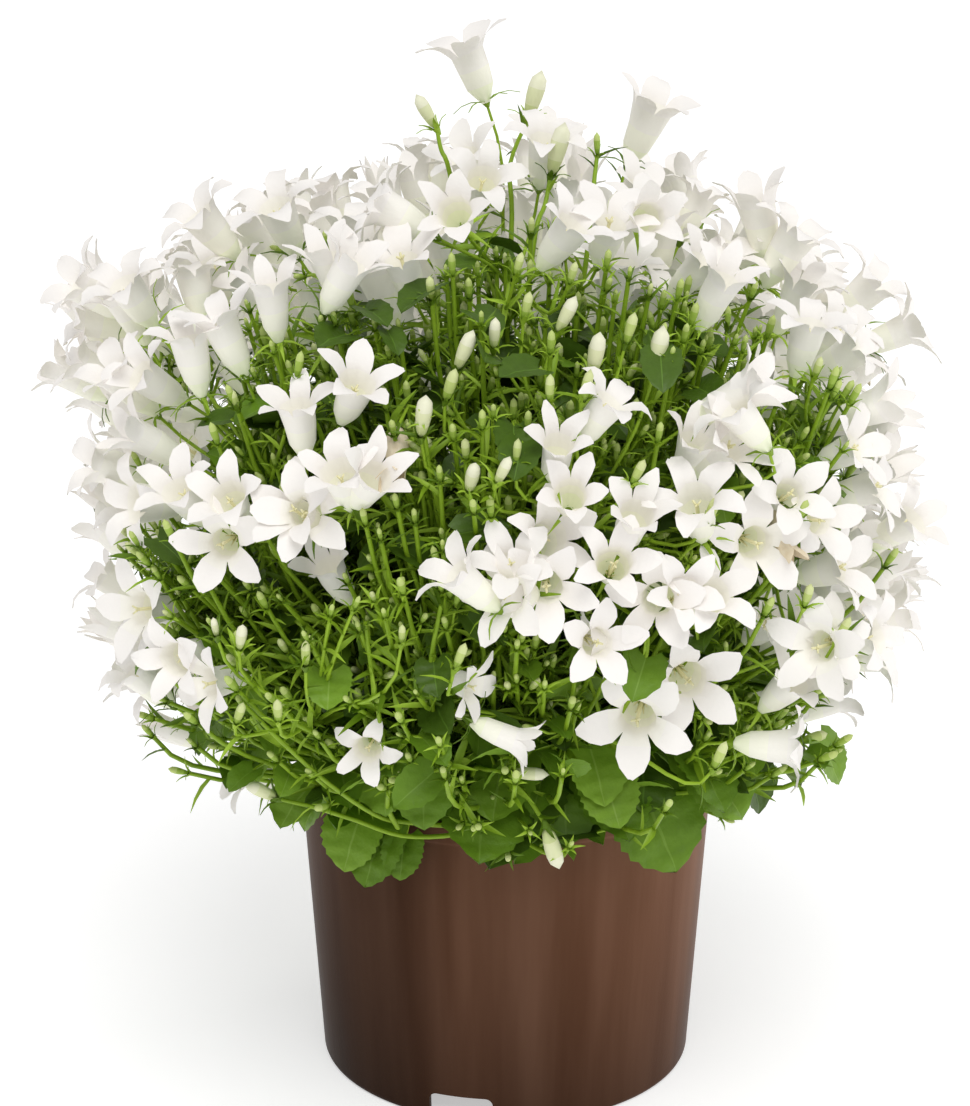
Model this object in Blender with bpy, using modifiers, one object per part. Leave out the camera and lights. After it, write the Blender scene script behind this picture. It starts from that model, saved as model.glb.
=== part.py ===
"""A potted Dalmatian bellflower in full white bloom, in a brown moulded nursery pot.

The origin is the middle of the pot's foot, on the ground, and +Z is up. Stems fan out from a woody root crown
in the middle of the potting soil. Each stem ends in a mass of twigs, leaves, buds and bells that keeps to its
own cone of space, seen from the root crown, so no two masses meet.
"""

import math
import random
from types import SimpleNamespace

import bmesh
import bpy
from mathutils import Matrix, Quaternion, Vector
from mathutils.geometry import interpolate_bezier

# The pot, a thin turned shell that stands on a foot ring with three notches. Sizes are in metres.
POT_HEIGHT = 0.094
RIM_RADIUS = 0.060
FOOT_RADIUS = 0.0537
POT_WALL = 0.0014
POT_STEPS = 48
RIM_BAND_HEIGHT = 0.006
RIM_BAND_STEP = 0.0003
RIM_CORNER = 0.0004
FLOOR_UNDERSIDE = 0.0090
FLOOR_THICKNESS = 0.0014
FOOT_CORNER = 0.0012
FOOT_INSET = 0.0006
NOTCHES = 3
NOTCH_AZIMUTH = 256.0
NOTCH_WIDTH = 0.0185
NOTCH_HEIGHT = 0.0078
NOTCH_CORNER = 0.0022
NOTCH_CORNER_STEPS = 3
NOTCH_DEPTH = 0.012

# The potting soil and the root crown on it, with the gap left between solids that touch.
CLEAR = 0.0003
SOIL_TOP = POT_HEIGHT - 0.010
SOIL_LEVEL_RADIUS = 0.020
SOIL_SHOULDER_RADIUS = 0.042
SOIL_SHOULDER_DROP = 0.0008
SOIL_EDGE_DROP = 0.003
SOIL_STEPS = 32
ROOT_CROWN_RADIUS = 0.011
ROOT_CROWN_LIFT = 0.003
GROWTH_POINT = Vector((0.0, 0.0, SOIL_TOP + ROOT_CROWN_LIFT))

# The crown's outline, a rounded drum that narrows faster below its widest level.
CROWN_AXIS_X = -0.0025
CROWN_RADIUS = 0.129
CROWN_LEVEL = POT_HEIGHT + 0.076
CROWN_RISE = 0.112
CROWN_FALL = 0.095
ROUNDNESS_ABOVE = 2.6
ROUNDNESS_BELOW = 2.4
CROWN_MARGIN = 0.004
LONGEST_REACH = 0.30

# Each ring of masses: its name, how many there are, how high they point from the root crown, the azimuth of
# the first, how far along the reach the bough ends, and how many bells and leaves a mass may hold.
TIERS = (
    SimpleNamespace(name="skirt", count=8, elevation=6.0, first=0.0, bough=0.0, bells=2, leaves=9),
    SimpleNamespace(name="low", count=8, elevation=24.0, first=15.0, bough=0.30, bells=8, leaves=7),
    SimpleNamespace(name="middle", count=7, elevation=47.0, first=25.0, bough=0.33, bells=13, leaves=6),
    SimpleNamespace(name="top", count=4, elevation=75.0, first=90.0, bough=0.36, bells=10, leaves=4),
)
SEED = 7
THROWS = 100
SIDE_GAP = 0.0002
JOINT_GAP = 0.00035
POT_MARGIN = 0.0012

# Boughs. Those of the skirt end at a joint given by its radius and height, just inside the rim.
BOUGH_FOOT_RADIUS = 0.0014
BOUGH_TIP_RADIUS = 0.0010
BOUGH_POINTS = 5
BOUGH_BOW = 0.004
BOUGH_EASE = 0.35
BOUGH_RISE = 0.10
SKIRT_START_ELEVATION = 5.0
SKIRT_JOINT = (0.048, POT_HEIGHT + 0.0033)
SKIRT_STEM_LENGTH = 0.034
SKIRT_STEM_FALL = 0.03

# The stem inside each mass, and the twigs on it.
STEM_FOOT_RADIUS = 0.0016
STEM_TIP_RADIUS = 0.0012
STEM_SHARE = 0.80
STEM_LIFT = 0.004
TWIG_FOOT_RADIUS = 0.0008
TWIG_TIP_RADIUS = 0.0006
TWIG_SIDES = 3
TWIG_SPACING = 0.0018
TWIG_LEAD = 0.020

# Bells. Lengths run from the stalk to the lobes' tips, which a wide open bell carries lower.
LOBES = 5
BELL_LENGTH = 0.028
BELL_SIZES = (0.90, 1.08)
BELL_OPENINGS = (0.62, 0.85, 1.0, 1.0, 1.0)
BELL_TIP_RADIUS = 0.0124
BELL_TIP_HEIGHT = 1.12
BELL_TIP_DROP = 0.14
BELL_BAY_RADIUS = 0.0078
BELL_BAY_HEIGHT = 0.68
THROAT_HEIGHT = 0.36
BELL_BALLS = ((0.15, 0.003), (0.5, 0.0052), (0.85, 0.0092))
BELL_SPACING = 0.94
BELL_SCATTER = 0.33
BELL_DEPTHS = (0.0, 0.002, 0.005, 0.012, 0.022)
BELL_LIFT = 0.18
BELL_SWAY = 0.20

# The tall bell above the rest: where its foot stands from the root crown, and how it leans.
LEADER_FOOT = Vector((-0.008, 0.018, 0.190))
LEADER_AXIS = Vector((-0.38, 0.05, 1.0))
LEADER_SIZE = 1.06
LEADER_OPENING = 0.9
LEADER_ROLL = 0.6
LEADER_LEAD = 0.045

# How a bell of the photograph gives way where it has no room: it leans to its mass's middle and sinks.
LEAN_STEPS = 8
KNOWN_BELL_DEPTH = 0.002
KNOWN_BELL_SINK = 0.0015

# The bells that stand out in the photograph, as the azimuth and elevation of the mouth from the root crown
# and of the way it faces, in degrees.
KNOWN_BELLS = (
    (206, 64, 200, 45),
    (215, 68, 190, 50),
    (349, 77, 335, 50),
    (259, 68, 240, 60),
    (236, 66, 180, 72),
    (247, 64, 315, 58),
    (299, 67, 300, 20),
    (284, 68, 320, 50),
    (328, 65, 345, 50),
    (251, 54, 270, 35),
    (221, 53, 200, 60),
    (301, 52, 345, 45),
    (286, 54, 330, 45),
    (235, 40, 262, 12),
    (246, 44, 258, 28),
    (252, 48, 300, 50),
    (269, 42, 285, 45),
    (277, 46, 272, 35),
    (283, 41, 285, 30),
    (288, 38, 275, 10),
    (305, 45, 290, 60),
    (293, 49, 310, 62),
    (319, 46, 290, 40),
    (227, 43, 235, 55),
    (281, 31, 272, 10),
    (293, 27, 285, -5),
    (284, 22, 262, -8),
    (252, 22, 263, 12),
    (271, 25, 350, -8),
    (316, 29, 300, 30),
    (226, 27, 245, 15),
)

# Green gaps in the white, as the photograph shows: azimuth, elevation, half width, half height in degrees.
GREEN_GAPS = (
    (272, 56, 17, 8),
    (252, 28, 21, 11),
    (310, 49, 8, 7),
    (25, 45, 16, 9),
    (140, 32, 20, 10),
    (95, 58, 14, 7),
    (178, 45, 12, 8),
    (268, 2, 45, 13),
)
BELLS_IN_GAP = 0.10

# Buds and leaves. A leaf of the skirt leans out further the further along the stem it grows.
BUD_LENGTH = 0.017
BUD_SIZES = (0.75, 1.1)
BUD_RADIUS = 0.0023
BUD_WIDEST = 0.68
BUD_SIDES = 3
BUD_SPACING = 0.008
BUD_TRIES = 12
BUDS_PER_BELL = 0.34
BUDS_ON_TWIGS = 0.6
BUD_LIFT = 0.35
BUD_SWAY = 0.45
LEAF_LENGTH = 0.021
LEAF_SIZES = (0.75, 1.1)
LEAF_BREADTHS = (0.7, 0.9)
LEAF_THICKNESS = 0.0006
LEAF_WIDEST = 0.45
LEAF_SIDES = 4
LEAF_SPACING = 0.55
LEAF_ROOM = 0.25
LEAVES_ON_TWIGS = 0.45
LEAF_TILTS = (-0.25, 0.9)
SKIRT_LEAF_LENGTH = 0.026
SKIRT_LEAF_SPACING = 0.42
SKIRT_LEAF_ROOM = 0.1
SKIRT_LEAF_TILT = 0.15
SKIRT_LEAF_FALL = 1.5

MASS_LOOKS = ("stem", "leaf", "petals")
COLOURS = {
    "pot": ((0.105, 0.050, 0.033), 0.38),
    "soil": ((0.020, 0.012, 0.008), 0.95),
    "wood": ((0.16, 0.12, 0.06), 0.8),
    "stem": ((0.16, 0.32, 0.04), 0.5),
    "leaf": ((0.10, 0.19, 0.03), 0.5),
    "petals": ((0.85, 0.85, 0.78), 0.5),
}


def polar(azimuth, elevation):
    """The unit direction at these two angles, in degrees."""
    turn, lift = math.radians(azimuth), math.radians(elevation)
    return Vector((math.cos(lift) * math.cos(turn), math.cos(lift) * math.sin(turn), math.sin(lift)))


def azimuth_of(direction):
    return math.degrees(math.atan2(direction.y, direction.x)) % 360


def elevation_of(direction):
    return math.degrees(math.atan2(direction.z, math.hypot(direction.x, direction.y)))


def within_crown(point, margin=0.0):
    """True inside the crown's outline, or inside that outline grown by a margin."""
    out = math.hypot(point.x - CROWN_AXIS_X, point.y) / (CROWN_RADIUS + margin)
    rise = point.z - CROWN_LEVEL
    height, roundness = (CROWN_RISE, ROUNDNESS_ABOVE) if rise > 0 else (CROWN_FALL, ROUNDNESS_BELOW)
    return out**roundness + (abs(rise) / (height + margin)) ** roundness < 1


def reach(direction):
    """How far the crown's outline lies from the root crown in a direction."""
    low, high = 0.0, LONGEST_REACH
    for _ in range(24):
        middle = (low + high) / 2
        if within_crown(GROWTH_POINT + direction * middle):
            low = middle
        else:
            high = middle
    return low


def in_green_gap(direction):
    """True where the photograph shows stems and buds in place of bells."""
    azimuth, elevation = azimuth_of(direction), elevation_of(direction)
    for gap_azimuth, gap_elevation, half_width, half_height in GREEN_GAPS:
        turn = (azimuth - gap_azimuth + 180) % 360 - 180
        across = turn * math.cos(math.radians(elevation)) / half_width
        if across**2 + ((elevation - gap_elevation) / half_height) ** 2 < 1:
            return True
    return False


def turned(axis, roll):
    """The rotation that stands a shape's +Z on an axis, rolled about it."""
    return axis.to_track_quat("Z", "Y").to_matrix() @ Matrix.Rotation(roll, 3, "Z")


def scattered(rng, size):
    return Vector((rng.gauss(0, size), rng.gauss(0, size), rng.gauss(0, size)))


class Space:
    """The cone that one mass keeps to, which starts at the plane where its bough ends."""

    def __init__(self, site, other_sites, joint, heading):
        self.site = site
        self.walls = [(site - other).normalized() for other in other_sites]
        self.joint, self.heading = joint, heading

    def is_nearest(self, direction):
        """True where a direction from the root crown lies in this cone."""
        return all(wall.dot(direction) > 0 for wall in self.walls)

    def room(self, point):
        """How far inside the space a point lies."""
        out = point - GROWTH_POINT
        sides = min(wall.dot(out) for wall in self.walls) - SIDE_GAP
        return min(sides, (point - self.joint).dot(self.heading) - CLEAR)

    def holds(self, points, radius=0.0):
        return all(self.room(point) >= radius for point in points)


def bell_points(bell):
    """The corners of a bell: its foot, then its lobes' tips and the bays between them, in turn."""
    spin = turned(bell.axis, bell.roll)
    points = [bell.foot.copy()]
    for corner in range(2 * LOBES):
        angle = math.pi * corner / LOBES
        tip = corner % 2 == 0
        radius = bell.size * (bell.open * BELL_TIP_RADIUS if tip else BELL_BAY_RADIUS)
        share = BELL_TIP_HEIGHT - BELL_TIP_DROP * bell.open if tip else BELL_BAY_HEIGHT
        height = bell.size * BELL_LENGTH * share
        points.append(bell.foot + spin @ Vector((radius * math.cos(angle), radius * math.sin(angle), height)))
    return points


def bell_spheres(bell):
    """Balls that fill a bell, by which two bells are kept apart."""
    length = bell.size * BELL_LENGTH
    return [(bell.foot + bell.axis * (share * length), radius * bell.size) for share, radius in BELL_BALLS]


def from_line(point, start, end):
    """How far a point lies from the line between two others."""
    line = end - start
    share = max(0.0, min(1.0, (point - start).dot(line) / line.length_squared))
    return (point - start - line * share).length


def strung(start, end, first=0.3):
    """A few points along the outer part of a line."""
    return [start.lerp(end, first + (1 - first) * step / 4) for step in range(5)]


def twig_meets(root, foot, bell):
    """True where a twig would run through a bell or close beside its twig."""
    if (root - bell.root).length < TWIG_SPACING:
        return True
    if any(from_line(point, bell.root, bell.foot) < TWIG_SPACING for point in strung(root, foot)):
        return True
    return any(from_line(ball, root, foot) < 0.8 * radius for ball, radius in bell_spheres(bell)[1:])


def bells_meet(one, other):
    """True where two bells, or the twig of one and the other's bell, would run into each other."""
    if twig_meets(one.root, one.foot, other) or twig_meets(other.root, other.foot, one):
        return True
    return any(
        (a - b).length < BELL_SPACING * (radius_a + radius_b)
        for a, radius_a in bell_spheres(one)
        for b, radius_b in bell_spheres(other)
    )


def leaf_points(leaf):
    """The outline of a leaf: its root, its tip and its two widest points, with its thickness."""
    side = leaf.along.cross(leaf.face).normalized()
    middle = leaf.root + leaf.along * (LEAF_WIDEST * leaf.length)
    half = side * (leaf.width / 2)
    skin = leaf.face * (LEAF_THICKNESS / 2)
    return [leaf.root, leaf.tip, middle + half, middle - half, middle + skin, middle - skin]


def clears_pot(corners):
    """True where straight lines between these points pass outside the pot or over its rim."""
    for one in corners:
        for other in corners:
            for step in range(5):
                point = one.lerp(other, step / 4)
                out = math.hypot(point.x, point.y)
                if out < RIM_RADIUS + POT_MARGIN and point.z < POT_HEIGHT + POT_MARGIN:
                    return False
    return True


def joint_of(tier, site, azimuth):
    """Where a bough ends and the way it points there."""
    if tier.name == "skirt":
        out = polar(azimuth, 0)
        joint = out * SKIRT_JOINT[0] + Vector((0, 0, SKIRT_JOINT[1]))
        return joint, (out - Vector((0, 0, SKIRT_STEM_FALL))).normalized()
    joint = GROWTH_POINT + site * (tier.bough * reach(site))
    joint.z += BOUGH_BOW * math.cos(math.radians(tier.elevation))
    return joint, (site + Vector((0, 0, BOUGH_RISE))).normalized()


def bough_path(tier, site, azimuth):
    """The middle line of a bough, from the root crown to its joint."""
    joint, heading = joint_of(tier, site, azimuth)
    if tier.name == "skirt":
        first = polar(azimuth, SKIRT_START_ELEVATION)
    else:
        first = site
    start = GROWTH_POINT + first * (ROOT_CROWN_RADIUS + CLEAR)
    ease = BOUGH_EASE * (joint - start).length
    return interpolate_bezier(start, start + first * ease, joint - heading * ease, joint, BOUGH_POINTS)


def make_bell(rng, mouth, axis, openness, stem):
    """A bell with its mouth at a point, on a twig from the mass's stem."""
    size = rng.uniform(*BELL_SIZES)
    foot = mouth - axis * (BELL_LENGTH * size)
    root = root_on(stem, foot, TWIG_LEAD)
    roll = rng.uniform(0, math.tau)
    return SimpleNamespace(root=root, foot=foot, axis=axis, size=size, open=openness, roll=roll)


def has_room(bell, space, bells):
    """True where a bell and its twig keep to the mass's space and clear of the other bells."""
    if not space.holds(bell_points(bell)) or not space.holds([bell.root, bell.foot], TWIG_FOOT_RADIUS):
        return False
    if not clears_pot(bell_points(bell)) or not clears_pot([bell.root, bell.foot]):
        return False
    if not all(within_crown(point, CROWN_MARGIN) for point in bell_points(bell)):
        return False
    return not any(bells_meet(bell, other) for other in bells)


def root_on(stem, foot, lead):
    """The point of a mass's stem that a twig to foot leaves from, so that it rises at an acute angle."""
    first, last = stem
    line = last - first
    share = ((foot - first).dot(line) / line.length_squared) - lead / line.length
    return first + line * max(0.04, min(0.97, share))


def plan_known_bells(rng, space, stem, bells):
    """The photograph's own bells whose mouths point into this mass, each leant inwards until it has room."""
    for azimuth, elevation, facing, rise in KNOWN_BELLS:
        direction = polar(azimuth, elevation)
        if not space.is_nearest(direction):
            continue
        for lean in range(LEAN_STEPS):
            leant = direction.lerp(space.site, lean / LEAN_STEPS).normalized()
            mouth = GROWTH_POINT + leant * (reach(leant) - KNOWN_BELL_DEPTH - lean * KNOWN_BELL_SINK)
            bell = make_bell(rng, mouth, polar(facing, rise), 1.0, stem)
            if has_room(bell, space, bells):
                bells.append(bell)
                break


def plan_thrown_bells(rng, tier, space, stem, bells):
    """Bells thrown at random onto the crown's outline and a little inside it, kept where they have room."""
    for _ in range(THROWS * tier.bells):
        direction = (space.site + scattered(rng, BELL_SCATTER)).normalized()
        mouth = GROWTH_POINT + direction * (reach(direction) - rng.choice(BELL_DEPTHS))
        chance = rng.random()
        axis = (direction + Vector((0, 0, BELL_LIFT)) + scattered(rng, BELL_SWAY)).normalized()
        bell = make_bell(rng, mouth, axis, rng.choice(BELL_OPENINGS), stem)
        if len(bells) >= tier.bells or (in_green_gap(direction) and chance > BELLS_IN_GAP):
            continue
        if has_room(bell, space, bells):
            bells.append(bell)


def host_twig(rng, index, share_on_bells, stem, bells):
    """The twig that a bud or a leaf grows from, which is a bell's or the mass's own stem."""
    if bells and rng.random() < share_on_bells:
        bell = bells[index % len(bells)]
        return (bell.root, bell.foot)
    return stem


def runs_clear(root, tip, space_round, host, stem, bells):
    """True where what grows from root to tip stays off every twig but its own, and out of the bells."""
    points = strung(root, tip)
    for twig in [stem] + [(bell.root, bell.foot) for bell in bells]:
        if twig == host:
            continue
        if any(from_line(point, *twig) < space_round for point in points):
            return False
    for ball, radius in [pair for bell in bells for pair in bell_spheres(bell)[1:]]:
        if any((point - ball).length < radius + 0.5 * space_round for point in points):
            return False
    return True


def plan_buds(rng, tier, space, stem, bells):
    """Buds on side twigs off the bells' twigs and off the stem."""
    buds = []
    for index in range(BUD_TRIES * tier.bells):
        host = host_twig(rng, index, BUDS_ON_TWIGS, stem, bells)
        root = host[0].lerp(host[1], rng.uniform(0.35, 0.85))
        lead = (host[1] - host[0]).normalized()
        axis = (lead + Vector((0, 0, BUD_LIFT)) + scattered(rng, BUD_SWAY)).normalized()
        size = rng.uniform(*BUD_SIZES)
        tip = root + axis * (size * BUD_LENGTH)
        if len(buds) >= BUDS_PER_BELL * tier.bells or not within_crown(tip):
            continue
        corners = [root, tip, root.lerp(tip, BUD_WIDEST)]
        if not space.holds(corners, BUD_RADIUS) or not clears_pot(corners):
            continue
        if not runs_clear(root, tip, 2 * BUD_RADIUS, host, stem, bells):
            continue
        if any((tip - other.tip).length < BUD_SPACING for other in buds):
            continue
        buds.append(SimpleNamespace(root=root, tip=tip, axis=axis, size=size))
    return buds


def throw_leaf(rng, tier, index, site, stem, bells):
    """A leaf at random off the stem or the lower part of a twig, or leaning over the rim in the skirt."""
    skirt = tier.name == "skirt"
    host = host_twig(rng, index, 0 if skirt else LEAVES_ON_TWIGS, stem, bells)
    share = rng.uniform(0.08, 0.95 if skirt else 0.6)
    root = host[0].lerp(host[1], share)
    out = polar(azimuth_of(site) + rng.gauss(0, 50 if skirt else 80), 0)
    if skirt:
        tilt = SKIRT_LEAF_TILT - SKIRT_LEAF_FALL * share + rng.gauss(0, 0.12)
    else:
        tilt = rng.uniform(*LEAF_TILTS)
    along = (out + Vector((0, 0, tilt))).normalized()
    upward = Vector((0, 0, 1)) + scattered(rng, 0.15 if skirt else 0.35)
    face = upward.cross(along).cross(-along).normalized()
    length = rng.uniform(*LEAF_SIZES) * (SKIRT_LEAF_LENGTH if skirt else LEAF_LENGTH)
    width = length * rng.uniform(*LEAF_BREADTHS)
    tip = root + along * length
    return SimpleNamespace(host=host, root=root, tip=tip, along=along, face=face, length=length, width=width)


def plan_leaves(rng, tier, space, stem, bells):
    """The leaves of a mass, kept where they have room. Those of the skirt are large and may lie closer."""
    leaves = []
    skirt = tier.name == "skirt"
    spacing, room = (SKIRT_LEAF_SPACING, SKIRT_LEAF_ROOM) if skirt else (LEAF_SPACING, LEAF_ROOM)
    for index in range(THROWS * tier.leaves):
        leaf = throw_leaf(rng, tier, index, space.site, stem, bells)
        corners = leaf_points(leaf)
        if len(leaves) >= tier.leaves or not space.holds(corners) or not clears_pot(corners):
            continue
        if not runs_clear(leaf.root, leaf.tip, room * leaf.width, leaf.host, stem, bells):
            continue
        middle = leaf.root.lerp(leaf.tip, 0.5)
        if any((middle - other.root.lerp(other.tip, 0.5)).length < spacing * leaf.length for other in leaves):
            continue
        leaves.append(leaf)
    return leaves


def plan_leader(stem):
    """The tall bell that stands above the rest of the crown."""
    foot = GROWTH_POINT + LEADER_FOOT
    root = root_on(stem, foot, LEADER_LEAD)
    return SimpleNamespace(
        root=root,
        foot=foot,
        axis=LEADER_AXIS.normalized(),
        size=LEADER_SIZE,
        open=LEADER_OPENING,
        roll=LEADER_ROLL,
    )


def plan_masses():
    """Every mass of the crown, with its bough and all that grows on it, worked out from the tiers."""
    places = [(tier, number) for tier in TIERS for number in range(tier.count)]
    azimuths = [tier.first + 360 / tier.count * number for tier, number in places]
    sites = [polar(azimuth, tier.elevation) for azimuth, (tier, _) in zip(azimuths, places)]
    masses = []
    for index, (tier, number) in enumerate(places):
        azimuth, site = azimuths[index], sites[index]
        rng = random.Random(SEED * 1000 + index)
        joint, heading = joint_of(tier, site, azimuth)
        space = Space(site, sites[:index] + sites[index + 1 :], joint, heading)
        if tier.name == "skirt":
            end = joint + heading * SKIRT_STEM_LENGTH
        else:
            end = GROWTH_POINT + site * (STEM_SHARE * reach(site)) + Vector((0, 0, STEM_LIFT))
        stem = (joint + heading * JOINT_GAP, end)
        bells = [plan_leader(stem)] if tier.name == "top" and number == 0 else []
        plan_known_bells(rng, space, stem, bells)
        plan_thrown_bells(rng, tier, space, stem, bells)
        buds = plan_buds(rng, tier, space, stem, bells)
        leaves = plan_leaves(rng, tier, space, stem, bells)
        masses.append(
            SimpleNamespace(
                name=f"{tier.name}_{number + 1}",
                stem=stem,
                bough=bough_path(tier, site, azimuth),
                bells=bells,
                buds=buds,
                leaves=leaves,
            )
        )
    return masses


def clear_scene():
    for obj in list(bpy.data.objects):
        bpy.data.objects.remove(obj, do_unlink=True)


def new_collection(name):
    collection = bpy.data.collections.new(name)
    bpy.context.scene.collection.children.link(collection)
    return collection


def material(name):
    colour, roughness = COLOURS[name]
    made = bpy.data.materials.get(name) or bpy.data.materials.new(name)
    made.use_nodes = True
    shader = made.node_tree.nodes["Principled BSDF"]
    shader.inputs["Base Color"].default_value = (*colour, 1)
    shader.inputs["Roughness"].default_value = roughness
    shader.inputs["Metallic"].default_value = 0
    return made


def object_from(bm, name, collection, *looks):
    mesh = bpy.data.meshes.new(name)
    bm.to_mesh(mesh)
    bm.free()
    obj = bpy.data.objects.new(name, mesh)
    for look in looks:
        mesh.materials.append(material(look))
    collection.objects.link(obj)
    return obj


def turn_profile(name, profile, steps, collection, look):
    """A turned solid: a profile of (radius, height) whose ends lie on the axis, swept round by a Screw."""
    bm = bmesh.new()
    corners = [bm.verts.new((radius, 0, height)) for radius, height in profile]
    for lower, upper in zip(corners, corners[1:]):
        bm.edges.new((lower, upper))
    obj = object_from(bm, name, collection, look)
    screw = obj.modifiers.new("turn", "SCREW")
    screw.steps = steps
    screw.render_steps = steps
    screw.use_merge_vertices = True
    screw.merge_threshold = 0.00002
    return obj


def pot_radius(height):
    """The outer radius of the pot's wall at a height."""
    return FOOT_RADIUS + (RIM_RADIUS - FOOT_RADIUS) * height / POT_HEIGHT


def notch_cutter(azimuth, collection):
    """A block with rounded upper corners that cuts one notch through the foot ring."""
    bm = bmesh.new()
    bmesh.ops.create_cube(bm, size=1)
    bmesh.ops.scale(bm, verts=bm.verts, vec=(NOTCH_DEPTH, NOTCH_WIDTH, 2 * NOTCH_HEIGHT))
    upper = []
    for edge in bm.edges:
        one, other = (corner.co for corner in edge.verts)
        if one.z > 0 and other.z > 0 and abs(one.y - other.y) < 1e-6:
            upper.append(edge)
    bmesh.ops.bevel(
        bm,
        geom=upper,
        offset=NOTCH_CORNER,
        segments=NOTCH_CORNER_STEPS,
        profile=0.5,
        affect="EDGES",
        clamp_overlap=False,
        material=-1,
    )
    cutter = object_from(bm, f"notch_cutter_{azimuth:.0f}", collection, "pot")
    cutter.location = polar(azimuth, 0) * pot_radius(0)
    cutter.rotation_euler.z = math.radians(azimuth)
    cutter.hide_render = True
    cutter.display_type = "WIRE"
    return cutter


def build_pot(parts, cutters):
    """The pot's wall, floor and foot ring as one profile, from the middle of the floor over the rim."""
    band = POT_HEIGHT - RIM_BAND_HEIGHT
    floor_top = FLOOR_UNDERSIDE + FLOOR_THICKNESS
    lip = RIM_RADIUS + RIM_BAND_STEP
    inner_lip = RIM_RADIUS - POT_WALL
    inner_foot = FOOT_RADIUS - POT_WALL - FOOT_INSET
    profile = [
        (0, floor_top),
        (pot_radius(floor_top) - POT_WALL, floor_top),
        (inner_lip, POT_HEIGHT - RIM_CORNER),
        (inner_lip + RIM_CORNER, POT_HEIGHT),
        (lip - RIM_CORNER, POT_HEIGHT),
        (lip, POT_HEIGHT - RIM_CORNER),
        (pot_radius(band) + RIM_BAND_STEP, band),
        (pot_radius(band), band - RIM_CORNER),
        (pot_radius(FOOT_CORNER), FOOT_CORNER),
        (FOOT_RADIUS - FOOT_INSET, 0),
        (inner_foot, 0),
        (inner_foot + pot_radius(FLOOR_UNDERSIDE) - FOOT_RADIUS, FLOOR_UNDERSIDE),
        (0, FLOOR_UNDERSIDE),
    ]
    pot = turn_profile("pot", profile, POT_STEPS, parts, "pot")
    for number in range(NOTCHES):
        cutter = notch_cutter(NOTCH_AZIMUTH + 360 / NOTCHES * number, cutters)
        cut = pot.modifiers.new(f"notch_{number + 1}", "BOOLEAN")
        cut.operation = "DIFFERENCE"
        cut.object = cutter


def build_soil(parts):
    """The filled inside of the pot, level under the root crown and lower towards the wall."""
    bottom = FLOOR_UNDERSIDE + FLOOR_THICKNESS + CLEAR
    edge = SOIL_TOP - SOIL_EDGE_DROP
    profile = [
        (0, SOIL_TOP),
        (SOIL_LEVEL_RADIUS, SOIL_TOP),
        (SOIL_SHOULDER_RADIUS, SOIL_TOP - SOIL_SHOULDER_DROP),
        (pot_radius(edge) - POT_WALL - CLEAR, edge),
        (pot_radius(bottom) - POT_WALL - CLEAR, bottom),
        (0, bottom),
    ]
    turn_profile("potting_soil", profile, SOIL_STEPS, parts, "soil")


def build_root_crown(parts):
    """The woody knuckle that every stem springs from, cut flat where it stands on the soil."""
    bm = bmesh.new()
    bmesh.ops.create_uvsphere(bm, u_segments=12, v_segments=8, radius=ROOT_CROWN_RADIUS)
    bmesh.ops.translate(bm, verts=bm.verts, vec=GROWTH_POINT)
    foot = Vector((0, 0, SOIL_TOP + CLEAR))
    geometry = bm.verts[:] + bm.edges[:] + bm.faces[:]
    bmesh.ops.bisect_plane(bm, geom=geometry, plane_co=foot, plane_no=(0, 0, 1), clear_inner=True, dist=1e-6)
    for face in bm.faces:
        face.smooth = True
    rim = [edge for edge in bm.edges if edge.is_boundary]
    bmesh.ops.contextual_create(bm, geom=rim)
    for edge in rim:
        edge.smooth = False
    object_from(bm, "root_crown", parts, "wood")


def build_bough(mass, parts):
    """One tapering limb, a four-sided curve with filled ends, made a mesh."""
    curve = bpy.data.curves.new(f"bough_{mass.name}", "CURVE")
    curve.dimensions = "3D"
    curve.bevel_depth = 1
    curve.bevel_resolution = 0
    curve.use_fill_caps = True
    spline = curve.splines.new("POLY")
    spline.points.add(BOUGH_POINTS - 1)
    for step, place in enumerate(mass.bough):
        share = step / (BOUGH_POINTS - 1)
        spline.points[step].co = (*place, 1)
        spline.points[step].radius = BOUGH_FOOT_RADIUS + (BOUGH_TIP_RADIUS - BOUGH_FOOT_RADIUS) * share
    bough = bpy.data.objects.new(f"bough_{mass.name}", curve)
    bough.data.materials.append(material("stem"))
    parts.objects.link(bough)


def stem_solid(mass, parts):
    """The three-sided stem that a mass grows on."""
    first, last = mass.stem
    line = last - first
    bm = bmesh.new()
    radii = {"radius1": STEM_FOOT_RADIUS, "radius2": STEM_TIP_RADIUS}
    bmesh.ops.create_cone(bm, cap_ends=True, segments=TWIG_SIDES, depth=line.length, **radii)
    place = Matrix.Translation(first.lerp(last, 0.5)) @ turned(line, 0).to_4x4()
    bmesh.ops.transform(bm, matrix=place, verts=bm.verts)
    for face in bm.faces:
        face.material_index = MASS_LOOKS.index("stem")
    return object_from(bm, f"mass_{mass.name}", parts, *MASS_LOOKS)


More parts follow.
